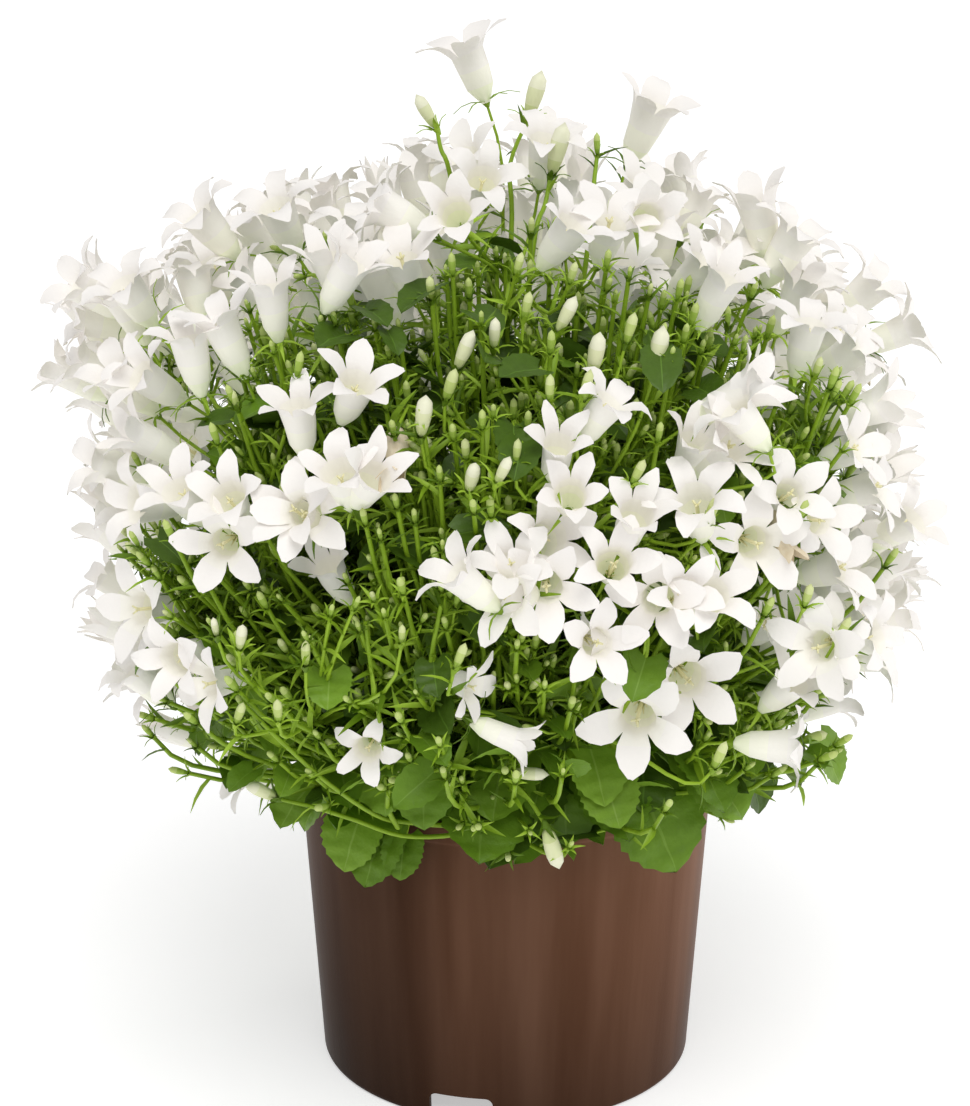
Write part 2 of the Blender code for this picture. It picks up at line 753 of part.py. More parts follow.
def bell_solid(bell, name, collection):
    """A bell on its twig: a three-sided twig lofted into a ten-cornered mouth of lobes and bays, hollowed."""
    bm = bmesh.new()
    bmesh.ops.create_cone(bm, cap_ends=True, segments=TWIG_SIDES, radius1=1, radius2=1, depth=2)
    ends = sorted(bm.faces, key=lambda face: face.calc_center_median().z)
    root_ring, neck_ring = list(ends[0].verts), list(ends[-1].verts)
    neck = list(ends[-1].edges)
    bmesh.ops.delete(bm, geom=[ends[-1]], context="FACES_ONLY")
    above = Matrix.Translation((0, 0, 4))
    circle = bmesh.ops.create_circle(bm, cap_ends=True, segments=2 * LOBES, radius=3, matrix=above)
    mouth_ring = circle["verts"]
    mouth = mouth_ring[0].link_faces[0]
    lip = list(mouth.edges)
    throat = bmesh.ops.poke(bm, faces=[mouth])["verts"][0]
    bmesh.ops.bridge_loops(bm, edges=neck + lip)

    spin = turned(bell.axis, bell.roll)
    bend = bell.axis.rotation_difference(bell.foot - bell.root)
    for vertices, centre, frame, radius in (
        (root_ring, bell.root, bend.to_matrix() @ spin, TWIG_FOOT_RADIUS),
        (neck_ring, bell.foot, Quaternion().slerp(bend, 0.5).to_matrix() @ spin, TWIG_TIP_RADIUS),
    ):
        for vertex in vertices:
            vertex.co = centre + frame @ Vector((radius * vertex.co.x, radius * vertex.co.y, 0))
    for vertex, place in zip(mouth_ring, bell_points(bell)[1:]):
        vertex.co = place
    throat.co = bell.foot + bell.axis * (THROAT_HEIGHT * bell.size * BELL_LENGTH)
    blossom = {throat, *mouth_ring}
    for face in bm.faces:
        face.material_index = MASS_LOOKS.index("petals" if blossom.intersection(face.verts) else "stem")
    object_from(bm, name, collection, *MASS_LOOKS)


def spindle_solid(root, tip, widest, face, width, thickness, sides, look, name, collection):
    """A bud or a leaf: a coarse ball drawn out from root to tip, widest at that share of the way."""
    bm = bmesh.new()
    bmesh.ops.create_uvsphere(bm, u_segments=sides, v_segments=2, radius=1)
    side = face.cross(tip - root).normalized()
    for vertex in bm.verts:
        x, y, z = vertex.co
        share = 0 if z < -0.5 else 1 if z > 0.5 else widest
        vertex.co = root.lerp(tip, share) + side * (x * width / 2) + face * (y * thickness / 2)
    for each in bm.faces:
        each.material_index = MASS_LOOKS.index(look)
    object_from(bm, name, collection, *MASS_LOOKS)


def largest_shell(mesh):
    """Keeps a mesh's largest closed shell, so that a sealed hollow is filled and a loose scrap dropped."""
    bm = bmesh.new()
    bm.from_mesh(mesh)
    unseen = set(bm.verts)
    shells = []
    while unseen:
        front = [unseen.pop()]
        shell = set(front)
        while front:
            for edge in front.pop().link_edges:
                for vertex in edge.verts:
                    if vertex in unseen:
                        unseen.discard(vertex)
                        shell.add(vertex)
                        front.append(vertex)
        shells.append(shell)
    keep = max(shells, key=len)
    bmesh.ops.delete(bm, geom=[vertex for vertex in bm.verts if vertex not in keep], context="VERTS")
    bm.to_mesh(mesh)
    bm.free()


def fuse(base, pieces):
    """Joins the pieces of a collection to the base by one Boolean union, applied."""
    union = base.modifiers.new("fuse", "BOOLEAN")
    union.operation = "UNION"
    union.operand_type = "COLLECTION"
    union.collection = pieces
    union.solver = "MANIFOLD"
    bpy.context.view_layer.update()
    graph = bpy.context.evaluated_depsgraph_get()
    mesh = bpy.data.meshes.new_from_object(base.evaluated_get(graph))
    base.modifiers.clear()
    base.data = mesh
    for piece in list(pieces.objects):
        bpy.data.objects.remove(piece, do_unlink=True)
    bpy.data.collections.remove(pieces)
    largest_shell(mesh)


def build_mass(mass, parts):
    """One mass: its stem, the twigs on it, and the bells, buds and leaves, fused into one solid."""
    pieces = new_collection(f"pieces_{mass.name}")
    stem = stem_solid(mass, parts)
    for number, bell in enumerate(mass.bells):
        bell_solid(bell, f"bell_{number}", pieces)
    for number, bud in enumerate(mass.buds):
        line = (bud.root, bud.tip, BUD_WIDEST)
        face = (bud.axis.orthogonal().normalized(), 2 * BUD_RADIUS * bud.size, 2 * BUD_RADIUS * bud.size)
        spindle_solid(*line, *face, BUD_SIDES, "petals", f"bud_{number}", pieces)
    for number, leaf in enumerate(mass.leaves):
        line = (leaf.root, leaf.tip, LEAF_WIDEST)
        face = (leaf.face, leaf.width, LEAF_THICKNESS)
        spindle_solid(*line, *face, LEAF_SIDES, "leaf", f"leaf_{number}", pieces)
    fuse(stem, pieces)


def main():
    clear_scene()
    parts = new_collection("potted_dalmatian_bellflower")
    cutters = new_collection("cutters")
    build_pot(parts, cutters)
    build_soil(parts)
    build_root_crown(parts)
    for mass in plan_masses():
        build_bough(mass, parts)
        build_mass(mass, parts)


if __name__ == "__main__":
    main()
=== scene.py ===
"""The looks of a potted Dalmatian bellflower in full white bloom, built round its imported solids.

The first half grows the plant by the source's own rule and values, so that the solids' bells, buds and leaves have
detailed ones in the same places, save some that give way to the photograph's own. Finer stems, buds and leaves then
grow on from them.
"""

import math
import random
from types import SimpleNamespace

import bmesh
import bpy
import numpy as np
from mathutils import Matrix, Quaternion, Vector, noise
from mathutils.geometry import interpolate_bezier

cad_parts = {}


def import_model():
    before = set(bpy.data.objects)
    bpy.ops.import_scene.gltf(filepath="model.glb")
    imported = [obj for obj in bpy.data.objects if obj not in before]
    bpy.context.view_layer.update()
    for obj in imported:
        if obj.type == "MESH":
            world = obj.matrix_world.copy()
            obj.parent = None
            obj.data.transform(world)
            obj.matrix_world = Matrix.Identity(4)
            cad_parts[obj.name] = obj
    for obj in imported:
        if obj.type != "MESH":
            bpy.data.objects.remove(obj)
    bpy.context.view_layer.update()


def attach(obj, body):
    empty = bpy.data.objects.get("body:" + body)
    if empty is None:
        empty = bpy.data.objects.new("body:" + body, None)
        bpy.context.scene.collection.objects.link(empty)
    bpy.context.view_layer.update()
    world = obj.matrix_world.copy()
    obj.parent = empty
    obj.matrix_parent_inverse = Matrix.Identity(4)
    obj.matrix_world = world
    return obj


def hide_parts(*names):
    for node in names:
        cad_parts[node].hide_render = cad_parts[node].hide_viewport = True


# The pot, a thin turned shell that stands on a foot ring with three notches. Sizes are in metres.
POT_HEIGHT = 0.094
RIM_RADIUS = 0.060
FOOT_RADIUS = 0.0537
POT_WALL = 0.0014
POT_STEPS = 48
RIM_BAND_HEIGHT = 0.006
RIM_BAND_STEP = 0.0003
RIM_CORNER = 0.0004
FLOOR_UNDERSIDE = 0.0090
FLOOR_THICKNESS = 0.0014
FOOT_CORNER = 0.0012
FOOT_INSET = 0.0006
NOTCHES = 3
NOTCH_AZIMUTH = 256.0
NOTCH_WIDTH = 0.0185
NOTCH_HEIGHT = 0.0078
NOTCH_CORNER = 0.0022
NOTCH_CORNER_STEPS = 3
NOTCH_DEPTH = 0.012

# The potting soil and the root crown on it, with the gap left between solids that touch.
CLEAR = 0.0003
SOIL_TOP = POT_HEIGHT - 0.010
SOIL_LEVEL_RADIUS = 0.020
SOIL_SHOULDER_RADIUS = 0.042
SOIL_SHOULDER_DROP = 0.0008
SOIL_EDGE_DROP = 0.003
SOIL_STEPS = 32
ROOT_CROWN_RADIUS = 0.011
ROOT_CROWN_LIFT = 0.003
GROWTH_POINT = Vector((0.0, 0.0, SOIL_TOP + ROOT_CROWN_LIFT))

# The crown's outline, a rounded drum that narrows faster below its widest level.
CROWN_AXIS_X = -0.0025
CROWN_RADIUS = 0.129
CROWN_LEVEL = POT_HEIGHT + 0.076
CROWN_RISE = 0.112
CROWN_FALL = 0.095
ROUNDNESS_ABOVE = 2.6
ROUNDNESS_BELOW = 2.4
CROWN_MARGIN = 0.004
LONGEST_REACH = 0.30

# Each ring of masses: its name, how many there are, how high they point from the root crown, the azimuth of
# the first, how far along the reach the bough ends, and how many bells and leaves a mass may hold.
TIERS = (
    SimpleNamespace(name="skirt", count=8, elevation=6.0, first=0.0, bough=0.0, bells=2, leaves=9),
    SimpleNamespace(name="low", count=8, elevation=24.0, first=15.0, bough=0.30, bells=8, leaves=7),
    SimpleNamespace(name="middle", count=7, elevation=47.0, first=25.0, bough=0.33, bells=13, leaves=6),
    SimpleNamespace(name="top", count=4, elevation=75.0, first=90.0, bough=0.36, bells=10, leaves=4),
)
SEED = 7
THROWS = 100
SIDE_GAP = 0.0002
JOINT_GAP = 0.00035
POT_MARGIN = 0.0012

# Boughs. Those of the skirt end at a joint given by its radius and height, just inside the rim.
BOUGH_FOOT_RADIUS = 0.0014
BOUGH_TIP_RADIUS = 0.0010
BOUGH_POINTS = 5
BOUGH_BOW = 0.004
BOUGH_EASE = 0.35
BOUGH_RISE = 0.10
SKIRT_START_ELEVATION = 5.0
SKIRT_JOINT = (0.048, POT_HEIGHT + 0.0033)
SKIRT_STEM_LENGTH = 0.034
SKIRT_STEM_FALL = 0.03

# The stem inside each mass, and the twigs on it.
STEM_FOOT_RADIUS = 0.0016
STEM_TIP_RADIUS = 0.0012
STEM_SHARE = 0.80
STEM_LIFT = 0.004
TWIG_FOOT_RADIUS = 0.0008
TWIG_TIP_RADIUS = 0.0006
TWIG_SIDES = 3
TWIG_SPACING = 0.0018
TWIG_LEAD = 0.020

# Bells. Lengths run from the stalk to the lobes' tips, which a wide open bell carries lower.
LOBES = 5
BELL_LENGTH = 0.028
BELL_SIZES = (0.90, 1.08)
BELL_OPENINGS = (0.62, 0.85, 1.0, 1.0, 1.0)
BELL_TIP_RADIUS = 0.0124
BELL_TIP_HEIGHT = 1.12
BELL_TIP_DROP = 0.14
BELL_BAY_RADIUS = 0.0078
BELL_BAY_HEIGHT = 0.68
THROAT_HEIGHT = 0.36
BELL_BALLS = ((0.15, 0.003), (0.5, 0.0052), (0.85, 0.0092))
BELL_SPACING = 0.94
BELL_SCATTER = 0.33
BELL_DEPTHS = (0.0, 0.002, 0.005, 0.012, 0.022)
BELL_LIFT = 0.18
BELL_SWAY = 0.20

# The tall bell above the rest: where its foot stands from the root crown, and how it leans.
LEADER_FOOT = Vector((-0.008, 0.018, 0.190))
LEADER_AXIS = Vector((-0.38, 0.05, 1.0))
LEADER_SIZE = 1.06
LEADER_OPENING = 0.9
LEADER_ROLL = 0.6
LEADER_LEAD = 0.045

# How a bell of the photograph gives way where it has no room: it leans to its mass's middle and sinks.
LEAN_STEPS = 8
KNOWN_BELL_DEPTH = 0.002
KNOWN_BELL_SINK = 0.0015

# The bells that stand out in the photograph, as the azimuth and elevation of the mouth from the root crown
# and of the way it faces, in degrees.
KNOWN_BELLS = (
    (206, 64, 200, 45),
    (215, 68, 190, 50),
    (349, 77, 335, 50),
    (259, 68, 240, 60),
    (236, 66, 180, 72),
    (247, 64, 315, 58),
    (299, 67, 300, 20),
    (284, 68, 320, 50),
    (328, 65, 345, 50),
    (251, 54, 270, 35),
    (221, 53, 200, 60),
    (301, 52, 345, 45),
    (286, 54, 330, 45),
    (235, 40, 262, 12),
    (246, 44, 258, 28),
    (252, 48, 300, 50),
    (269, 42, 285, 45),
    (277, 46, 272, 35),
    (283, 41, 285, 30),
    (288, 38, 275, 10),
    (305, 45, 290, 60),
    (293, 49, 310, 62),
    (319, 46, 290, 40),
    (227, 43, 235, 55),
    (281, 31, 272, 10),
    (293, 27, 285, -5),
    (284, 22, 262, -8),
    (252, 22, 263, 12),
    (271, 25, 350, -8),
    (316, 29, 300, 30),
    (226, 27, 245, 15),
)

# Green gaps in the white, as the photograph shows: azimuth, elevation, half width, half height in degrees.
GREEN_GAPS = (
    (272, 56, 17, 8),
    (252, 28, 21, 11),
    (310, 49, 8, 7),
    (25, 45, 16, 9),
    (140, 32, 20, 10),
    (95, 58, 14, 7),
    (178, 45, 12, 8),
    (268, 2, 45, 13),
)
BELLS_IN_GAP = 0.10

# Buds and leaves. A leaf of the skirt leans out further the further along the stem it grows.
BUD_LENGTH = 0.017
BUD_SIZES = (0.75, 1.1)
BUD_RADIUS = 0.0023
BUD_WIDEST = 0.68
BUD_SIDES = 3
BUD_SPACING = 0.008
BUD_TRIES = 12
BUDS_PER_BELL = 0.34
BUDS_ON_TWIGS = 0.6
BUD_LIFT = 0.35
BUD_SWAY = 0.45
LEAF_LENGTH = 0.021
LEAF_SIZES = (0.75, 1.1)
LEAF_BREADTHS = (0.7, 0.9)
LEAF_THICKNESS = 0.0006
LEAF_WIDEST = 0.45
LEAF_SIDES = 4
LEAF_SPACING = 0.55
LEAF_ROOM = 0.25
LEAVES_ON_TWIGS = 0.45
LEAF_TILTS = (-0.25, 0.9)
SKIRT_LEAF_LENGTH = 0.026
SKIRT_LEAF_SPACING = 0.42
SKIRT_LEAF_ROOM = 0.1
SKIRT_LEAF_TILT = 0.15
SKIRT_LEAF_FALL = 1.5

def polar(azimuth, elevation):
    """The unit direction at these two angles, in degrees."""
    turn, lift = math.radians(azimuth), math.radians(elevation)
    return Vector((math.cos(lift) * math.cos(turn), math.cos(lift) * math.sin(turn), math.sin(lift)))


def azimuth_of(direction):
    return math.degrees(math.atan2(direction.y, direction.x)) % 360


def elevation_of(direction):
    return math.degrees(math.atan2(direction.z, math.hypot(direction.x, direction.y)))


def within_crown(point, margin=0.0):
    """True inside the crown's outline, or inside that outline grown by a margin."""
    out = math.hypot(point.x - CROWN_AXIS_X, point.y) / (CROWN_RADIUS + margin)
    rise = point.z - CROWN_LEVEL
    height, roundness = (CROWN_RISE, ROUNDNESS_ABOVE) if rise > 0 else (CROWN_FALL, ROUNDNESS_BELOW)
    return out**roundness + (abs(rise) / (height + margin)) ** roundness < 1


def reach(direction):
    """How far the crown's outline lies from the root crown in a direction."""
    low, high = 0.0, LONGEST_REACH
    for _ in range(24):
        middle = (low + high) / 2
        if within_crown(GROWTH_POINT + direction * middle):
            low = middle
        else:
            high = middle
    return low


def in_green_gap(direction):
    """True where the photograph shows stems and buds in place of bells."""
    azimuth, elevation = azimuth_of(direction), elevation_of(direction)
    for gap_azimuth, gap_elevation, half_width, half_height in GREEN_GAPS:
        turn = (azimuth - gap_azimuth + 180) % 360 - 180
        across = turn * math.cos(math.radians(elevation)) / half_width
        if across**2 + ((elevation - gap_elevation) / half_height) ** 2 < 1:
            return True
    return False


def turned(axis, roll):
    """The rotation that stands a shape's +Z on an axis, rolled about it."""
    return axis.to_track_quat("Z", "Y").to_matrix() @ Matrix.Rotation(roll, 3, "Z")


def scattered(rng, size):
    return Vector((rng.gauss(0, size), rng.gauss(0, size), rng.gauss(0, size)))


class Space:
    """The cone that one mass keeps to, which starts at the plane where its bough ends."""

    def __init__(self, site, other_sites, joint, heading):
        self.site = site
        self.walls = [(site - other).normalized() for other in other_sites]
        self.joint, self.heading = joint, heading

    def is_nearest(self, direction):
        """True where a direction from the root crown lies in this cone."""
        return all(wall.dot(direction) > 0 for wall in self.walls)

    def room(self, point):
        """How far inside the space a point lies."""
        out = point - GROWTH_POINT
        sides = min(wall.dot(out) for wall in self.walls) - SIDE_GAP
        return min(sides, (point - self.joint).dot(self.heading) - CLEAR)

    def holds(self, points, radius=0.0):
        return all(self.room(point) >= radius for point in points)


def bell_points(bell):
    """The corners of a bell: its foot, then its lobes' tips and the bays between them, in turn."""
    spin = turned(bell.axis, bell.roll)
    points = [bell.foot.copy()]
    for corner in range(2 * LOBES):
        angle = math.pi * corner / LOBES
        tip = corner % 2 == 0
        radius = bell.size * (bell.open * BELL_TIP_RADIUS if tip else BELL_BAY_RADIUS)
        share = BELL_TIP_HEIGHT - BELL_TIP_DROP * bell.open if tip else BELL_BAY_HEIGHT
        height = bell.size * BELL_LENGTH * share
        points.append(bell.foot + spin @ Vector((radius * math.cos(angle), radius * math.sin(angle), height)))
    return points


def bell_spheres(bell):
    """Balls that fill a bell, by which two bells are kept apart."""
    length = bell.size * BELL_LENGTH
    return [(bell.foot + bell.axis * (share * length), radius * bell.size) for share, radius in BELL_BALLS]


def from_line(point, start, end):
    """How far a point lies from the line between two others."""
    line = end - start
    share = max(0.0, min(1.0, (point - start).dot(line) / line.length_squared))
    return (point - start - line * share).length


def strung(start, end, first=0.3):
    """A few points along the outer part of a line."""
    return [start.lerp(end, first + (1 - first) * step / 4) for step in range(5)]


def twig_meets(root, foot, bell):
    """True where a twig would run through a bell or close beside its twig."""
    if (root - bell.root).length < TWIG_SPACING:
        return True
    if any(from_line(point, bell.root, bell.foot) < TWIG_SPACING for point in strung(root, foot)):
        return True
    return any(from_line(ball, root, foot) < 0.8 * radius for ball, radius in bell_spheres(bell)[1:])


def bells_meet(one, other):
    """True where two bells, or the twig of one and the other's bell, would run into each other."""
    if twig_meets(one.root, one.foot, other) or twig_meets(other.root, other.foot, one):
        return True
    return any(
        (a - b).length < BELL_SPACING * (radius_a + radius_b)
        for a, radius_a in bell_spheres(one)
        for b, radius_b in bell_spheres(other)
    )


def leaf_points(leaf):
    """The outline of a leaf: its root, its tip and its two widest points, with its thickness."""
    side = leaf.along.cross(leaf.face).normalized()
    middle = leaf.root + leaf.along * (LEAF_WIDEST * leaf.length)
    half = side * (leaf.width / 2)
    skin = leaf.face * (LEAF_THICKNESS / 2)
    return [leaf.root, leaf.tip, middle + half, middle - half, middle + skin, middle - skin]


def clears_pot(corners):
    """True where straight lines between these points pass outside the pot or over its rim."""
    for one in corners:
        for other in corners:
            for step in range(5):
                point = one.lerp(other, step / 4)
                out = math.hypot(point.x, point.y)
                if out < RIM_RADIUS + POT_MARGIN and point.z < POT_HEIGHT + POT_MARGIN:
                    return False
    return True


def joint_of(tier, site, azimuth):
    """Where a bough ends and the way it points there."""
    if tier.name == "skirt":
        out = polar(azimuth, 0)
        joint = out * SKIRT_JOINT[0] + Vector((0, 0, SKIRT_JOINT[1]))
        return joint, (out - Vector((0, 0, SKIRT_STEM_FALL))).normalized()
    joint = GROWTH_POINT + site * (tier.bough * reach(site))
    joint.z += BOUGH_BOW * math.cos(math.radians(tier.elevation))
    return joint, (site + Vector((0, 0, BOUGH_RISE))).normalized()


def bough_path(tier, site, azimuth):
    """The middle line of a bough, from the root crown to its joint."""
    joint, heading = joint_of(tier, site, azimuth)
    if tier.name == "skirt":
        first = polar(azimuth, SKIRT_START_ELEVATION)
    else:
        first = site
    start = GROWTH_POINT + first * (ROOT_CROWN_RADIUS + CLEAR)
    ease = BOUGH_EASE * (joint - start).length
    return interpolate_bezier(start, start + first * ease, joint - heading * ease, joint, BOUGH_POINTS)


def make_bell(rng, mouth, axis, openness, stem):
    """A bell with its mouth at a point, on a twig from the mass's stem."""
    size = rng.uniform(*BELL_SIZES)
    foot = mouth - axis * (BELL_LENGTH * size)
    root = root_on(stem, foot, TWIG_LEAD)
    roll = rng.uniform(0, math.tau)
    return SimpleNamespace(root=root, foot=foot, axis=axis, size=size, open=openness, roll=roll)


def has_room(bell, space, bells):
    """True where a bell and its twig keep to the mass's space and clear of the other bells."""
    if not space.holds(bell_points(bell)) or not space.holds([bell.root, bell.foot], TWIG_FOOT_RADIUS):
        return False
    if not clears_pot(bell_points(bell)) or not clears_pot([bell.root, bell.foot]):
        return False
    if not all(within_crown(point, CROWN_MARGIN) for point in bell_points(bell)):
        return False
    return not any(bells_meet(bell, other) for other in bells)


def root_on(stem, foot, lead):
    """The point of a mass's stem that a twig to foot leaves from, so that it rises at an acute angle."""
    first, last = stem
    line = last - first
    share = ((foot - first).dot(line) / line.length_squared) - lead / line.length
    return first + line * max(0.04, min(0.97, share))


def plan_known_bells(rng, space, stem, bells):
    """The photograph's own bells whose mouths point into this mass, each leant inwards until it has room."""
    for azimuth, elevation, facing, rise in KNOWN_BELLS:
        direction = polar(azimuth, elevation)
        if not space.is_nearest(direction):
            continue
        for lean in range(LEAN_STEPS):
            leant = direction.lerp(space.site, lean / LEAN_STEPS).normalized()
            mouth = GROWTH_POINT + leant * (reach(leant) - KNOWN_BELL_DEPTH - lean * KNOWN_BELL_SINK)
            bell = make_bell(rng, mouth, polar(facing, rise), 1.0, stem)
            if has_room(bell, space, bells):
                bells.append(bell)
                break


def plan_thrown_bells(rng, tier, space, stem, bells):
    """Bells thrown at random onto the crown's outline and a little inside it, kept where they have room."""
    for _ in range(THROWS * tier.bells):
        direction = (space.site + scattered(rng, BELL_SCATTER)).normalized()
        mouth = GROWTH_POINT + direction * (reach(direction) - rng.choice(BELL_DEPTHS))
        chance = rng.random()
        axis = (direction + Vector((0, 0, BELL_LIFT)) + scattered(rng, BELL_SWAY)).normalized()
        bell = make_bell(rng, mouth, axis, rng.choice(BELL_OPENINGS), stem)
        if len(bells) >= tier.bells or (in_green_gap(direction) and chance > BELLS_IN_GAP):
            continue
        if has_room(bell, space, bells):
            bells.append(bell)


def host_twig(rng, index, share_on_bells, stem, bells):
    """The twig that a bud or a leaf grows from, which is a bell's or the mass's own stem."""
    if bells and rng.random() < share_on_bells:
        bell = bells[index % len(bells)]
        return (bell.root, bell.foot)
    return stem


def runs_clear(root, tip, space_round, host, stem, bells):
    """True where what grows from root to tip stays off every twig but its own, and out of the bells."""
    points = strung(root, tip)
    for twig in [stem] + [(bell.root, bell.foot) for bell in bells]:
        if twig == host:
            continue
        if any(from_line(point, *twig) < space_round for point in points):
            return False
    for ball, radius in [pair for bell in bells for pair in bell_spheres(bell)[1:]]:
        if any((point - ball).length < radius + 0.5 * space_round for point in points):
            return False
    return True


def plan_buds(rng, tier, space, stem, bells):
    """Buds on side twigs off the bells' twigs and off the stem."""
    buds = []
    for index in range(BUD_TRIES * tier.bells):
        host = host_twig(rng, index, BUDS_ON_TWIGS, stem, bells)
        root = host[0].lerp(host[1], rng.uniform(0.35, 0.85))
        lead = (host[1] - host[0]).normalized()
        axis = (lead + Vector((0, 0, BUD_LIFT)) + scattered(rng, BUD_SWAY)).normalized()
        size = rng.uniform(*BUD_SIZES)
        tip = root + axis * (size * BUD_LENGTH)
        if len(buds) >= BUDS_PER_BELL * tier.bells or not within_crown(tip):
            continue
        corners = [root, tip, root.lerp(tip, BUD_WIDEST)]
        if not space.holds(corners, BUD_RADIUS) or not clears_pot(corners):
            continue
        if not runs_clear(root, tip, 2 * BUD_RADIUS, host, stem, bells):
            continue
        if any((tip - other.tip).length < BUD_SPACING for other in buds):
            continue
        buds.append(SimpleNamespace(root=root, tip=tip, axis=axis, size=size))
    return buds


def throw_leaf(rng, tier, index, site, stem, bells):
    """A leaf at random off the stem or the lower part of a twig, or leaning over the rim in the skirt."""
    skirt = tier.name == "skirt"
    host = host_twig(rng, index, 0 if skirt else LEAVES_ON_TWIGS, stem, bells)
    share = rng.uniform(0.08, 0.95 if skirt else 0.6)
    root = host[0].lerp(host[1], share)
    out = polar(azimuth_of(site) + rng.gauss(0, 50 if skirt else 80), 0)
    if skirt:
        tilt = SKIRT_LEAF_TILT - SKIRT_LEAF_FALL * share + rng.gauss(0, 0.12)
    else:
        tilt = rng.uniform(*LEAF_TILTS)
    along = (out + Vector((0, 0, tilt))).normalized()
    upward = Vector((0, 0, 1)) + scattered(rng, 0.15 if skirt else 0.35)
    face = upward.cross(along).cross(-along).normalized()
    length = rng.uniform(*LEAF_SIZES) * (SKIRT_LEAF_LENGTH if skirt else LEAF_LENGTH)
    width = length * rng.uniform(*LEAF_BREADTHS)
    tip = root + along * length
    return SimpleNamespace(host=host, root=root, tip=tip, along=along, face=face, length=length, width=width)


def plan_leaves(rng, tier, space, stem, bells):
    """The leaves of a mass, kept where they have room. Those of the skirt are large and may lie closer."""
    leaves = []
    skirt = tier.name == "skirt"
    spacing, room = (SKIRT_LEAF_SPACING, SKIRT_LEAF_ROOM) if skirt else (LEAF_SPACING, LEAF_ROOM)
    for index in range(THROWS * tier.leaves):
        leaf = throw_leaf(rng, tier, index, space.site, stem, bells)
        corners = leaf_points(leaf)
        if len(leaves) >= tier.leaves or not space.holds(corners) or not clears_pot(corners):
            continue
        if not runs_clear(leaf.root, leaf.tip, room * leaf.width, leaf.host, stem, bells):
            continue
        middle = leaf.root.lerp(leaf.tip, 0.5)
        if any((middle - other.root.lerp(other.tip, 0.5)).length < spacing * leaf.length for other in leaves):
            continue
        leaves.append(leaf)
    return leaves


def plan_leader(stem):
    """The tall bell that stands above the rest of the crown."""
    foot = GROWTH_POINT + LEADER_FOOT
    root = root_on(stem, foot, LEADER_LEAD)
    return SimpleNamespace(
        root=root,
        foot=foot,
        axis=LEADER_AXIS.normalized(),
        size=LEADER_SIZE,
        open=LEADER_OPENING,
        roll=LEADER_ROLL,
    )


def plan_masses():
    """Every mass of the crown, with its bough and all that grows on it, worked out from the tiers."""
    places = [(tier, number) for tier in TIERS for number in range(tier.count)]
    azimuths = [tier.first + 360 / tier.count * number for tier, number in places]
    sites = [polar(azimuth, tier.elevation) for azimuth, (tier, _) in zip(azimuths, places)]
    masses = []
    for index, (tier, number) in enumerate(places):
        azimuth, site = azimuths[index], sites[index]
        rng = random.Random(SEED * 1000 + index)
        joint, heading = joint_of(tier, site, azimuth)
        space = Space(site, sites[:index] + sites[index + 1 :], joint, heading)
        if tier.name == "skirt":
            end = joint + heading * SKIRT_STEM_LENGTH
        else:
            end = GROWTH_POINT + site * (STEM_SHARE * reach(site)) + Vector((0, 0, STEM_LIFT))
        stem = (joint + heading * JOINT_GAP, end)
        bells = [plan_leader(stem)] if tier.name == "top" and number == 0 else []
        plan_known_bells(rng, space, stem, bells)
        plan_thrown_bells(rng, tier, space, stem, bells)
        buds = plan_buds(rng, tier, space, stem, bells)
        leaves = plan_leaves(rng, tier, space, stem, bells)
        masses.append(
            SimpleNamespace(
                name=f"{tier.name}_{number + 1}",
                space=space,
                stem=stem,
                bough=bough_path(tier, site, azimuth),
                bells=bells,
                buds=buds,
                leaves=leaves,
            )
        )
    return masses


MILLIMETRE = 0.001

# The finer growth that the solids leave out.
GOLDEN_ANGLE = math.radians(137.5)
MORE_BELLS = 250
MOUTH_SHARE = 0.45
MOUTH_DEPTH = 0.022
MOUTH_WIDTH = 0.0095
MORE_BELL_THROWS = 9000
MORE_BELL_SPACING = 0.45
MORE_BELL_DEPTHS = (0.001, 0.004, 0.008, 0.014, 0.022, 0.032)
FRONT_BELL_SPACING = 0.40

# The bells of the solids are larger than life. These are the shares of their size that the blossom keeps.
LIFE_SHARE = 0.86
LOW_BELL_SHARE = 0.86
LEADER_SHARE = 0.93
LEADER_SHIFT = Vector((0.003, 0, -0.001))
BASAL_STEMS = 190
BASAL_PATCH_RADIUS = 0.046
NODE_SPACING = 0.0062
LOW_SHOOT_LEVEL = 0.135
BRACT_LENGTH = 0.0095
CORE_LEAVES = 420
LEAFY_HEIGHT = 0.165
DARK_LEAF_RISE = 0.07
RIPENING_SHARE = 0.12

